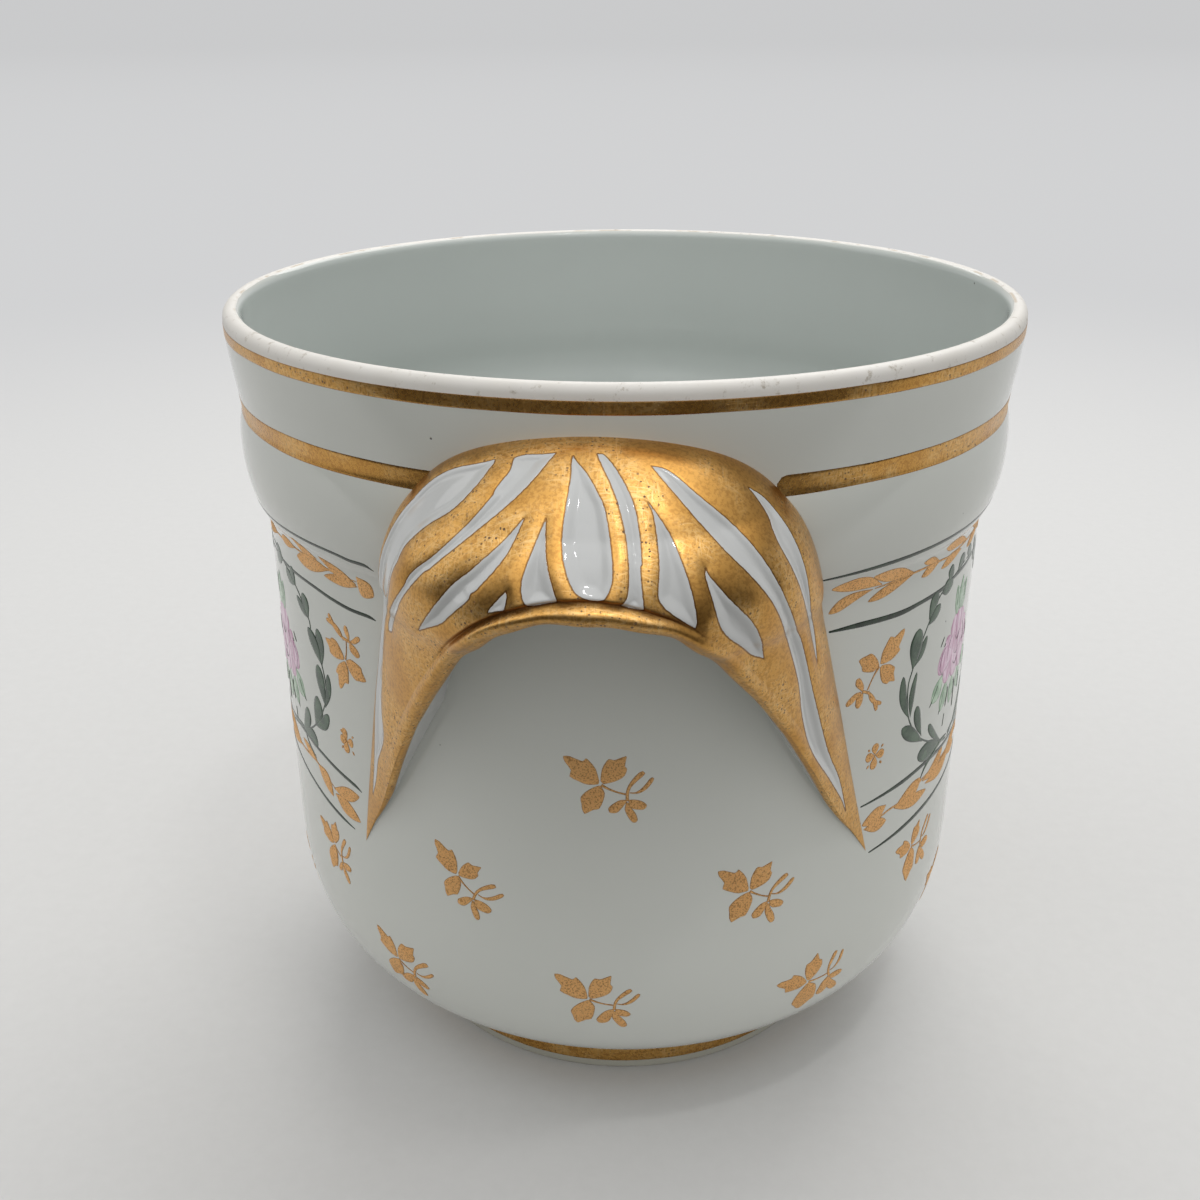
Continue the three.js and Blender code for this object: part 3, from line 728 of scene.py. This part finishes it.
# Each line is places (angle, arc) in a row, and its half width in mm at each
green_enamel = enamel("green_enamel", (420.0, 3.0), (0.012, 0.022, 0.012), (0.030, 0.052, 0.030),
                      (0.15, 0.12), relief=0.00003)
green_paths = [
    ([29.1, 117.5, 40, 117.7, 56.6, 117.8, 90, 117.8, 120.2, 117.6, 132, 117.9, 141, 117.9,
     144.7, 117.5, 147.5, 117.5, 149, 116.7], [.2, .47, .43, .39, .4, .36, .36, .42, .42, .1]),
    ([32, 106.4, 37.5, 106.2, 45.6, 105.6, 50.5, 105.7, 58, 105.8, 63, 106.3, 90, 106.9,
     120.2, 107.2, 131.2, 107.3, 137, 106.8, 141.4, 106.4, 145.4, 106.4, 147, 106.1], [.2, .52, .54,
     .44, .44, .42, .38, .34, .34, .36, .36, .36, .12]),
    ([40.5, 69.5, 49.8, 70, 58.1, 70.3, 72.3, 69.6, 95, 71, 120.6, 72.8, 128.5, 72.2, 134.1, 71.2,
     138.8, 70.3, 140.6, 69.6], [.18, .48, .46, .42, .38, .36, .4, .4, .4, .12]),
    ([43.2, 58.6, 51.2, 59.4, 57.4, 60.1, 66.2, 61, 72.8, 61.9, 95, 63.9, 113, 64.9, 123, 63.6,
     129.9, 62, 134.3, 61, 137.9, 60.3], [.18, .46, .5, .44, .4, .36, .36, .38, .4, .4, .12]),
]
film_piece("green_lines", [line_on_wall(*line, 200) for line in green_paths], green_enamel,
           thick=0.04)

# Gold sprigs
# A leaf spray of three serrated leaves, with a stem to a smaller one of three leaves and two
# twigs, repeated over the pot at different turns. Gold paste, a little proud of the glaze.
gilt_paste = Finish("gilt_paste")
gilt = gilt_paste.placed(burnished_gilt, Wear=0.9)
stipple = noise(gilt_paste.place, 3300.0, 1.0)
paste = mix(times(ramp(stipple, 0.5, 0.36), 0.6), (0.86, 0.50, 0.20), (0.36, 0.16, 0.05))
# Painted shade: a dark brown rim round the edge of each mark of paste, for the shade of its raised
# edge.
raised_edge_shade = times(ramp(gilt_paste.mark("rim"), 0.55, 0.0), 0.6)
gilt_paste.look(mix(raised_edge_shade, paste, (0.15, 0.065, 0.03)), math("ADD", gilt["Roughness"], 0.2),
                math("ADD", gilt["Height"], stipple), 0.00014,
                Metallic=times(gilt["Metallic"], 0.8))


def between(left, right):
    """Grid between two edges of a leaf that share a base and a tip, each a line through the same
    number of points."""
    left, right = np.reshape(left, (-1, 2)), np.reshape(right, (-1, 2))
    where = np.linspace(0, len(left) - 1, 2 * len(left) - 1)
    a, b = passing(left, where)[:, None], passing(right, where)[:, None]
    return a + (b - a) * np.array([0, 0.035, 0.2, 0.5, 0.8, 0.965, 1])[:, None]


def carried(grid, base, tip, new_base, new_tip):
    """A grid turned, scaled and shifted so that its base and tip come to new places. With places
    as complex numbers, it is multiplied by the new length over the old one."""
    ratio = complex(*np.subtract(new_tip, new_base)) / complex(*np.subtract(tip, base))
    x, y = (grid - base)[..., 0], (grid - base)[..., 1]
    spun = [ratio.real * x - ratio.imag * y, ratio.imag * x + ratio.real * y]
    return np.stack(spun, -1) + new_base


def laid(grid, angle, arc):
    """A flat grid laid on the wall round one place, as angles and arcs."""
    radius = np.interp(arc + grid[..., 1], wall_arc, wall[:, 0])
    return angle + np.degrees(grid[..., 0] / radius), arc + grid[..., 1]


# Parts of the spray in mm round its joint: a grid, and the tip that is carried to each new place.
# The first three start at the joint, the others at the second joint.
joint_2 = (4.6, -3.0)
spray = [
    (between([0, .3, -.61, 2.77, -1.68, 4.32, -2.27, 4.77, -2.82, 4.18, -4.93, 5.01, -6.09, 4.95],
     [0, -.1, -1.96, -.3, -3.42, .23, -5.05, 1.11, -4.78, 2.32, -5.8, 3.84, -6.09, 4.85]),
     (-6.2, 5)),
    (between([.1, .3, .36, 2.67, .97, 4.06, 1.58, 4.78, 2.42, 4.59, 3.38, 4.94, 4.55, 5.42],
     [.5, -.1, 1.81, .2, 3.26, .78, 4.23, 1.61, 4.63, 2.87, 4.27, 3.42, 4.62, 5.3]), (4.6, 5.4)),
    (between([-.1, -.3, -1.35, -.92, -2.46, -1.8, -3.2, -2.85, -3.04, -3.98, -2.93, -5.12,
     -2.49, -6.01], [.2, -.3, .47, -.83, .89, -1.8, .64, -3.23, -.02, -4.82, -.89, -5,
     -2.35, -5.95]), (-2.5, -6)),
    (between([4.5, -3, 3.7, -3.1, 3.03, -3.4, 2.4, -3.95, 1.8, -4.62, 1.5, -5.2, 1.75, -5.95],
     [4.55, -3.4, 4.2, -4.1, 3.99, -4.59, 3.65, -5.2, 3.26, -5.74, 2.7, -6, 1.9, -6.05]),
     (1.6, -5.9)),
    (between([4.35, -3.3, 4.2, -4.2, 4.11, -4.87, 4.3, -5.6, 4.61, -6.3, 5, -7, 5.5, -7.5],
     [4.9, -3.6, 5.1, -4.3, 5.63, -5.17, 6, -5.8, 6.19, -6.47, 6.25, -7, 5.9, -7.5]), (5.8, -7.6)),
    (between([4.7, -3, 5.3, -2.95, 5.94, -2.97, 6.6, -3.1, 7.15, -3.35, 7.6, -3.7, 7.9, -4.1],
     [4.8, -4, 5.2, -4.5, 5.46, -4.75, 6, -4.9, 6.56, -4.96, 7.2, -4.95, 7.8, -4.5]), (7.9, -4.5)),
    (stroke([4.6, -3.4, 4.58, -1.9, 4.9, -.6, 5.7, .6, 6.7, 1.7, 7.3, 2.2], [.3, .28, .3, .42, .5,
     .3]), (7.4, 2.4)),
    (stroke([4.9, -1.6, 5.8, -1.65, 6.7, -1.35, 7.7, -.5, 8.6, .8, 8.95, 1.4], [.12, .15, .3, .42,
     .42, .22]), (9, 1.5)),
]
spray_stem = stroke([.2, -.2, 1.45, -.93, 2.9, -1.55, 4.5, -2], [.3, .22, .17, .2])

# Where each spray lies: its joint as (angle, arc), then in mm from it the three tips of the big
# leaves, the second joint, and the tips of the small leaves and twigs. Those on the middle of a
# broad side can't be seen in the picture, and two of them are turned like others.
sprays = [
    (.2, 82.6, [-6.2, 5, 4.5, 5.4, -2.6, -6, 4.6, -3, 1.4, -5.4, 5.9, -7.6, 7.9, -4.5, 7.5, 2.5,
     8.9, 1.3]),
    (21.7, 59.2, [-6, 5, 4.3, 5.1, -3.1, -6.2, 3.9, -3.1, .8, -6.1, 4.8, -8.1, 7, -4.5, 7.7, 1.8,
     8.9, .6]),
    (-21.4, 60.3, [-4.4, 6.2, 5, 2.8, -2.3, -5.3, 3.1, -4.3, -.3, -6, 3.7, -8.8, 6.6, -6.3,
     7.8, -.4, 9.1, -1.9]),
    (-1.8, 37.7, [-6.1, 5.3, 4.3, 5.7, -2.1, -7, 4.7, -2.4, 1.6, -6.5, 6.4, -7.9, 7.6, -4.2, 8, 2.6,
     9.3, 1.5]),
    (33.4, 34, [-7.2, 2, 1.3, 6.9, 1, -9.3, 5.4, -.8, 4.3, -6.4, 8.5, -6.8, 9, -1.5, 6.1, 5.6,
     7.7, 5]),
    (-35.1, 34.9, [-4.6, 6, 5.3, 4.9, -2.9, -6.4, 3.6, -3.1, -.6, -6.4, 3.7, -9.8, 6.3, -5.9,
     8.3, 2.2, 9, 0]),
    (42.3, 97.1, [6.1, 5.2, 4.4, -4.5, -5.5, 2.3, -3.8, -4, -5.5, -1, -7.8, -5.6, -5, -7, .1, -9,
     1.3, -7.8]),
    (-40.7, 95.7, [-2.3, -6.4, -6, 2.6, 5.7, -2.2, 1.7, 4.3, .9, 7.2, 5, 5.8, 4.4, 1.9, -4.3, 8,
     -5.1, 6.5]),
    (55.3, 53.2, [-6, 1.6, 3, 4.7, -.5, -7.7, 4.4, -1.7, 3.5, -6.1, 7, -6.6, 8.3, -2.3, 7.5, 3.7,
     8.6, 3.1]),
    (-49.4, 52.9, [-6.1, 3.3, 1.5, 5.6, -1.6, -6.4, 3, -2.8, 1.4, -5.2, 5, -6.9, 6.2, -3.1, 5, 3.3,
     6.4, 2.4]),
]
sprays += [(-72, 36, sprays[3][2]), (71, 35, [-6.2, 4, 3.9, 5.6, -1.6, -6.6, 4.6, -2.2, 2.1, -5.9,
           6.4, -7.2, 8, -3.4, 7.6, 3.2, 9, 2.2]), (90, 54, sprays[0][2])]
skins = []
for angle, arc, ends in sprays:
    ends = np.reshape(ends, (-1, 2))
    second, tips = ends[3], np.delete(ends, 3, 0)
    for k, (grid, tip) in enumerate(spray):
        base, new_base = ((0, 0), (0, 0)) if k < 3 else (joint_2, second)
        skins.append(laid(carried(grid, base, tip, new_base, tips[k]), angle, arc))
    skins.append(laid(carried(spray_stem, (0, 0), joint_2, (0, 0), second), angle, arc))
film_piece("gold_sprigs", skins, gilt_paste, thick=0.07)


def blade(x0, y0, x1, y1, bow, half, belly, blunt, rows=13):
    """Grid in mm of a painted leaf from its base to its tip, along a line bowed sideways by bow
    as a sine arch. Its half width rises as a quarter sine to half at the share belly of its
    length, then falls as a quarter cosine to the power blunt."""
    base, tip = np.array([x0, y0]), np.array([x1, y1])
    share = np.linspace(0, 1, rows) ** 0.9
    rising = np.sin(np.pi / 2 * np.minimum(share / belly, 1)) ** 1.15
    falling = np.cos(np.pi / 2 * np.clip((share - belly) / (1 - belly), 0, 1)) ** blunt
    width = half * np.maximum(rising * falling, 0.04)
    square = np.array([base[1] - tip[1], tip[0] - base[0]]) / np.linalg.norm(tip - base)
    off = bow * np.sin(np.pi * share)[:, None] + width[:, None] * [-1, -0.94, -0.6, 0, 0.6, 0.94, 1]
    return base + share[:, None, None] * (tip - base) + off[..., None] * square


def blade_on_wall(angle_0, arc_0, angle_1, arc_1, *shape):
    """A blade between two places (angle, arc) on the wall."""
    return rounded(blade(angle_0 * mm_per_degree, arc_0, angle_1 * mm_per_degree, arc_1, *shape))


# Small four-petalled blossoms between the sprigs, each with four dots
blossoms = [((42.8, 79.2), [(42.8, 81.6), (44.9, 78.9), (40.8, 79.2), (42.6, 76.3)]),
            ((-42.1, 79.1), [(-42.9, 81.4), (-40.5, 79), (-42.5, 76.4), (-43.9, 78.8)])]
skins = []
for (angle, arc), petals in blossoms:
    skins += [blade_on_wall(angle, arc, *petal, 0, 0.95, 0.64, 0.5) for petal in petals]
    for a, s in ((1.7, 1.5), (1.6, -2.2), (-1.5, -2.1), (-1.5, 1.6)):
        skins.append(blade_on_wall(angle + 0.72 * a, arc + 0.72 * s, angle + 1.05 * a,
                                   arc + 1.05 * s, 0, 0.26, 0.5, 0.6, 7))
film_piece("gold_blossoms", skins, gilt_paste, thick=0.07)

# Gold garlands
# Laurel runs between each pair of green lines, in pairs of brush-stroke leaves along a thin stem.
# Each leaf is (base angle, base arc, tip angle, tip arc, bow, half width, belly). The last
# leaves of each run, on the middle of a broad side, are spaced evenly and drawn at random.
upper_garland = [
    (41.2, 112.4, 31.4, 114.5, -.98, 1.49, .58), (39.5, 112.2, 31.7, 109.7, -.65, 1.05, .69),
    (48.1, 112.4, 38.4, 115.1, -.11, 1.38, .6), (47.9, 112.2, 38.5, 110, -.14, .96, .63),
    (55, 111.9, 49.8, 113.6, -.32, .76, .65), (54.9, 112, 50, 110.7, -.13, .92, .59),
    (65.9, 111.8, 55.7, 114.2, -.49, 1.22, .72), (63.6, 111, 55.7, 110.1, -.45, .97, .61),
    (144, 113.5, 147, 110.4, -.43, 1.84, .59), (144, 111.3, 135.8, 110.7, -.23, 1, .45),
    (143.8, 111.6, 135.7, 114.6, .27, 1.09, .46), (138, 112.4, 127.5, 111.2, -.06, 1.56, .58),
    (135.1, 113.5, 128.8, 115.9, .76, 1.3, .66), (128, 112.9, 121.5, 112.4, -.2, 1.12, .61),
]
lower_garland = [
    (46.7, 67.2, 41.2, 65.3, .24, 1.47, .45), (41.6, 64.3, 47, 63.7, -.09, 1.28, .59),
    (48.6, 65.3, 56.6, 67.6, -.5, 1.79, .58), (48.6, 65.3, 59, 63.7, -.39, 1.27, .53),
    (56.8, 66.5, 65.3, 69.5, -1.1, 1.5, .65), (58, 65.3, 69.2, 66, -.6, 1.55, .65),
    (132.8, 65.4, 139.7, 62.7, -.01, 1.61, .45), (132.4, 66.3, 139.9, 68.3, -.24, 1.38, .58),
    (127.2, 68.7, 132.2, 64.2, .75, 1.6, .5), (127.4, 68.8, 120.8, 70.6, .02, .91, .46),
]
rng = np.random.default_rng(7)
for base in (75.5, 84.2, 92.8, 101.5, 110.3, 119.0):
    d = rng.uniform(-0.5, 0.5, 6)
    upper_garland += [
        (base, 112.3, base - 9.6 + d[0], 114.7 + 0.5 * d[1], -.3, 1.35 + .2 * d[2], .62),
        (base, 112.1, base - 9.0 + d[3], 110.1 + 0.5 * d[4], -.2, 1.05 + .2 * d[5], .62)]
for base, way in ((66.5, 1), (75.2, 1), (84.0, 1), (119.5, -1), (110.8, -1), (102.0, -1)):
    d = rng.uniform(-0.5, 0.5, 6)
    arc = 66.6 + 0.03 * (base - 60)
    lower_garland += [
        (base, arc, base + way * 9 + d[0], arc + 2.6 + 0.5 * d[1], -.3 * way, 1.45 + .2 * d[2], .6),
        (base, arc - .2, base + way * 9 + d[3], arc - 2.0 + 0.5 * d[4], .2 * way,
         1.2 + .2 * d[5], .6)]
skins = [blade_on_wall(*places, bow, 1.08 * half, belly, 0.8)
         for *places, bow, half, belly in upper_garland + lower_garland]
skins += [
    line_on_wall([39.5, 112.2, 43, 112.3, 47.8, 112.4, 54.9, 112, 58.5, 111.6, 66.6, 111.9,
                 90, 112.3, 119, 112.3, 128, 112.9, 138, 112.4, 144, 112.3],
                 [.1] + [.24] * 9 + [.1], 120),
    line_on_wall([42.3, 64.2, 46.9, 65.6, 50.4, 65.8, 56.6, 67, 67, 67.2, 92, 67.6, 119.5, 68.4,
                 127.3, 68.7, 134, 65.9], [.1] + [.24] * 7 + [.1], 120),
]
film_piece("gold_garlands", skins, gilt_paste, thick=0.06)

# Green wreaths
# Four round wreaths of leaves in pairs along two thin branches, which leave a knot at the foot
# and meet at the top. Thin enamel, darker where it pooled at the edges of a stroke.
wreath_enamel = enamel("wreath_enamel", (300.0, 4.0, 0.6), (0.028, 0.060, 0.032),
                       (0.085, 0.142, 0.085), (0.2, 0.1), rim=(0.7, 0.2, (0.018, 0.032, 0.02)),
                       relief=0.00003)

# The near halves, and the far halves as their mirror images about the middle of the wreath
wreath_middle = 67
right_wreath = [
    (62.9, 106.8, 66.4, 108.8, .37, 1.18, .5), (59.4, 106.5, 60.6, 109.2, -.08, 1.29, .42),
    (57, 104.9, 61.4, 105.6, .15, 1.39, .46), (53.6, 101.1, 55.7, 106, .13, 1.44, .67),
    (53.4, 100.1, 57.3, 102.8, .04, 1.12, .57), (50.2, 92.8, 51.1, 100.7, .06, 1.86, .62),
    (50.5, 93.2, 53.7, 98.3, -.31, .97, .52), (50.7, 82.8, 47.9, 92.7, .91, 1.03, .62),
    (50.9, 82.9, 51.6, 92.1, .58, .86, .48), (55.7, 75.8, 48.7, 81.8, .02, 1.3, .68),
    (55.1, 77.1, 52.4, 84.7, .37, 1.1, .72), (63.8, 71.5, 57.1, 78.5, .5, .82, .79),
    (63, 71.7, 54.2, 73.3, -.03, 1.86, .61),
]
left_wreath = [
    (-54.5, 104.5, -59, 106.1, .17, 1.17, .6), (-54.5, 104.5, -56.2, 107.8, .18, 1.16, .6),
    (-50.5, 99.7, -54.7, 102.6, .01, .95, .51), (-50.5, 99.8, -52.1, 104.3, -.26, 1.33, .61),
    (-47.4, 91.6, -51.3, 97.9, -.45, 1.48, .6), (-47.4, 91.6, -47.9, 99.1, -.4, 1.32, .69),
    (-47.6, 83, -49, 91.5, .03, 1.5, .68), (-47.8, 82.9, -45.8, 90.9, -.58, .94, .66),
    (-52.2, 77.2, -50, 84.3, -.7, 1.75, .63), (-52.2, 77.2, -46.7, 82, -.78, 1.2, .62),
    (-58.2, 73.5, -54.3, 79.4, -.6, 1.48, .71), (-58.2, 73.5, -51.6, 73.4, .43, 1.64, .72),
    (-60.5, 107.3, -64.2, 108.9, .2, 1.1, .5), (-60.5, 107, -64.8, 106, -.2, 1.2, .5),
]
skins = [blade_on_wall(*places, bow, 1.12 * half, belly, 0.55)
         for *places, bow, half, belly in right_wreath + left_wreath]
skins += [
    line_on_wall([67, 107.4, 62.9, 106.8, 57, 104.9, 53.3, 99.9, 50.2, 92.8, 49.5, 89.1, 50.7, 82.6,
                 55.2, 76.5, 63.4, 71.6, 67, 70.4], [.1] + [.2] * 8 + [.16], 60),
    line_on_wall([67, 71.2, 63.1, 71.5, 60.6, 70.6, 57.7, 69.4, 55.8, 67], [.3, .55, .4, .45, .1],
                 16),
    line_on_wall([-67, 108.6, -64.4, 108.4, -59.8, 107.2, -54.5, 104.5, -50.5, 99.7, -50.1, 95.7,
                 -47.4, 91.6, -47.3, 84.9, -52.2, 77.2, -58.2, 73.5, -67, 71],
                 [.1] + [.2] * 9 + [.16], 60),
    line_on_wall([-67, 72.2, -62, 73, -58.2, 73.5, -55.8, 71.1, -52.7, 69.4], [.3, .5, .4, .45, .1],
                 16),
]
skins += [(np.where(a > 0, 2, -2) * wreath_middle - a, s) for a, s in skins]
film_piece("green_wreaths", skins, wreath_enamel, thick=0.045)

# Roses
# One in the middle of each wreath: overlapping rose-pink petals with paler hearts, pale green
# leaves above and below, and fine dark strokes for veins and stems.
rose_paint = enamel("rose_paint", (900.0, 3.0), (0.55, 0.27, 0.42), (0.84, 0.62, 0.76), (0.2, 0.1),
                    0.68, (0.6, 0.1, (0.38, 0.13, 0.25)), squeeze=0.25)
leaf_paint = enamel("pale_leaf_paint", (480.0, 4.0), (0.26, 0.40, 0.26), (0.50, 0.66, 0.48),
                    (0.2, 0.1), rim=(0.5, 0.1, (0.10, 0.16, 0.10)))

# Petals, leaves and strokes in mm round the middle of the rose, drawn for the right of a handle
# and mirrored on its left
petals = [
    (0, 1, -3.4, 6.2, .3, 2.3, .68), (0, 1, 3.8, 5.8, -.3, 2.3, .68), (0, 1, .2, 7, 0, 2.2, .66),
    (-1, 0, -7.4, 2.2, .6, 2.4, .68), (1, 0, 7.4, 2.4, -.6, 2.4, .68),
    (-1.5, -2, -9.9, -1.6, -.7, 2.8, .66), (1.5, -2, 9.6, -1.4, .7, 2.8, .66),
    (-.5, -1.5, -6.2, -6, -.5, 2.7, .64), (.5, -1.5, 6.2, -6.2, .5, 2.7, .64),
    (0, -1, .2, -7.2, 0, 2.6, .62), (-.4, -3.2, -2.6, 3, .5, 1.9, .6),
    (.4, -3.2, 2.8, 2.8, -.5, 1.9, .6), (0, -3.6, .1, 1.9, 0, 1.7, .55),
]
rose_leaves = [
    (-1.5, 5, -3.2, 12.6, -.6, 1.9, .5), (1.4, 5, 3.8, 12, .5, 1.8, .5),
    (.2, 6, .4, 13.6, .2, 1.7, .45), (-6.5, -4, -11.4, -8.4, .4, 2.1, .55),
    (-4.2, -6, -6.4, -12.2, .4, 2, .55), (6.5, -4, 11.4, -8, -.4, 2.1, .55),
    (4.2, -6, 5.6, -12, -.4, 2, .55), (-.4, -6.5, -.8, -12.8, .3, 1.8, .55),
]
rose_strokes = [
    [-7.9, 4.2, -9, 2.9, -9.4, 2.4], [-6.9, 2.4, -7.6, 1.8],
    [-6.2, 2, -8.4, .1, -8.8, -2.4, -6.6, -4.4], [-3.6, 3.2, -5.4, .2, -5.2, -3],
    [3.6, 3.2, 5.4, .2, 5.2, -3], [-1.6, 2.2, 0, .6, 1.8, 2.4], [-2.2, -.6, 0, -2.4, 2.4, -.4],
    [-1.4, -3.4, .2, -4.6, 1.8, -3.2], [6.4, 2.2, 8.2, .2, 8.4, -2.6], [-2.4, 8, -2.8, 12.4],
    [2.2, 8, 3.2, 11.8], [-8.6, -5.2, -12, -9], [-5.2, -7.8, -7, -12.6], [-2.6, -8, -3.4, -12.4],
    [5, -7.8, 6, -12.4], [-3.4, -13.6, -3.8, -16.4], [9, -5.4, 12, -8.6], [1.6, -8, 2.2, -15],
]


def on_roses(name, parts, finish, thick):
    """Grids in mm laid round the middle of each rose, one on each side of both handles."""
    skins = []
    for grid in parts:
        right, left = laid(grid, 66.6, 91.0), laid(grid, 64.8, 89.6)
        skins += [right, (-left[0], left[1])]
    film_piece(name, skins, finish, thick)


on_roses("rose_leaves", [blade(*leaf, 0.8) for leaf in rose_leaves], leaf_paint, 0.04)
on_roses("rose_petals", [blade(*petal, 0.5) for petal in petals], rose_paint, 0.05)
on_roses("rose_strokes", [stroke(points, [.09] + [.15] * (len(points) // 2 - 2) + [.09], 10, 5)
                          for points in rose_strokes], green_enamel, 0.09)

# Table and light
# A pale paper table under even, soft light that comes mostly from behind and above, so that the
# side that faces the camera lies in a light shade. Mirrored and scattered light finds the table
# dark in front of the pot. Far off, the table fades into the background.
table_mesh = bpy.data.meshes.new("table")
table_mesh.from_pydata([(-30, -30, 0), (30, -30, 0), (30, 30, 0), (-30, 30, 0)], [], [(0, 1, 2, 3)])
table = bpy.data.objects.new("table", table_mesh)
bpy.context.scene.collection.objects.link(table)
sky_color, dark_paper = (0.985, 0.99, 1, 1), (0.06, 0.055, 0.05)
paper = Finish("paper")
fibre = noise(paper.place, 260.0, 6.0, 0.7)
path = put("LightPath", tree=paper.tree)
behind = put("SeparateXYZ", Vector=paper.place)["Y"]
lit = math("MAXIMUM", path["Is Camera Ray"], ramp(behind, -0.2, -0.12))
paper_color = mix(fibre, (0.595, 0.59, 0.575), (0.645, 0.64, 0.625))
paper.look(mix(lit, dark_paper, paper_color), 0.7)
far_off = put("VectorMath", {"operation": "LENGTH"}, i0=paper.place)["Value"]
in_mirrors = times(path["Is Glossy Ray"], ramp(behind, -0.05, 0.3))
seen = math("MAXIMUM", path["Is Camera Ray"], in_mirrors)
glow_level = put("MapRange", {"interpolation_type": "SMOOTHSTEP"}, Value=far_off, From_Min=0.6,
                 From_Max=8.0, To_Min=0.655, To_Max=0.6)[0]
glow = put("Emission", Color=sky_color, Strength=glow_level)[0]
faded = put("MixShader", i0=times(ramp(far_off, 0.22, 0.9), seen), i1=paper.shader.outputs[0],
            i2=glow)[0]
give(paper.tree.nodes["Material Output"], {"Surface": faded})
table_mesh.materials.append(paper.material)

# The room: how bright it is in eight directions, from behind the pot round by its left, its front
# and its right, at the horizon, half-way up and overhead
room = {
    "horizon": (0.36, 0.32, 0.20, 0.44, 0.84, 0.72, 0.42, 0.38),
    "half_way": (0.46, 0.42, 0.40, 0.56, 0.86, 0.76, 0.64, 0.60),
    "overhead": (0.56, 0.58, 0.76, 0.84, 0.96, 1.00, 1.00, 0.84),
}
world = bpy.data.worlds.new("studio")
bpy.context.scene.world = world
world.use_nodes = True
tree = world.node_tree
x, y, z = put("SeparateXYZ", Vector=put("TexCoord", tree=tree)["Generated"]).values()
turn = scaled(math("ARCTAN2", x, times(y, -1.0)), 0.5 / np.pi, 0.5)


def table_of(value, places, levels):
    """Level read off straight lines between levels at places."""
    made = put("ValToRGB", Fac=value)[0]
    stops = made.node.color_ramp.elements
    for place in places[1:-1]:
        stops.new(place)
    for stop, place, level in zip(stops, places, levels):
        stop.position, stop.color = place, (level, level, level, 1)
    return made


strength = 0.0
for ring, height_levels in zip(room.values(), np.eye(3).tolist()):
    share = table_of(z, (0.15, 0.5, 0.85), height_levels)
    level = table_of(turn, [i / 8 for i in range(9)], ring + ring[:1])
    strength = scaled(share, level, strength)
path = put("LightPath", tree=tree)
mirrored_share = times(table_of(z, (0.05, 0.35, 0.65, 0.92), (0.1, 0.3, 0.5, 1.0)), 1.9)
strength = put("Mix", i0=path["Is Glossy Ray"], i2=strength, i3=times(strength, mirrored_share))[0]
low_behind = times(ramp(y, -0.1, 0.3), ramp(z, 0.4, 0.1))
seen = math("MAXIMUM", path["Is Camera Ray"], times(path["Is Glossy Ray"], low_behind))
strength = put("Mix", i0=seen, i2=strength, i3=0.6)[0]
give(tree.nodes["Background"], {"Color": sky_color, "Strength": strength})


def lamp(name, where, size, power, target=(0, 0, 0.08)):
    """A square area lamp that faces the target."""
    data = bpy.data.lights.new(name, "AREA")
    data.shape, data.energy = "RECTANGLE", power
    data.size, data.size_y = size
    away = np.array(where, float) - target
    away /= np.linalg.norm(away)
    flat = np.cross((0, 0, 1), away)
    flat /= np.linalg.norm(flat)
    stand(name, data, flat, np.cross(away, flat), away, where)


lamp("behind_above", (0.15, 0.9, 1.1), (1.3, 0.9), 9.9)
lamp("left_window", (-1.1, 0.1, 0.7), (0.8, 0.9), 1.9)
lamp("front_fill", (-0.35, -0.7, 1.0), (0.9, 0.6), 0.8)
lamp("ceiling_tube", (0.25, -0.35, 1.2), (0.17, 0.05), 1.0)

bpy.context.scene.view_settings.view_transform = "Standard"
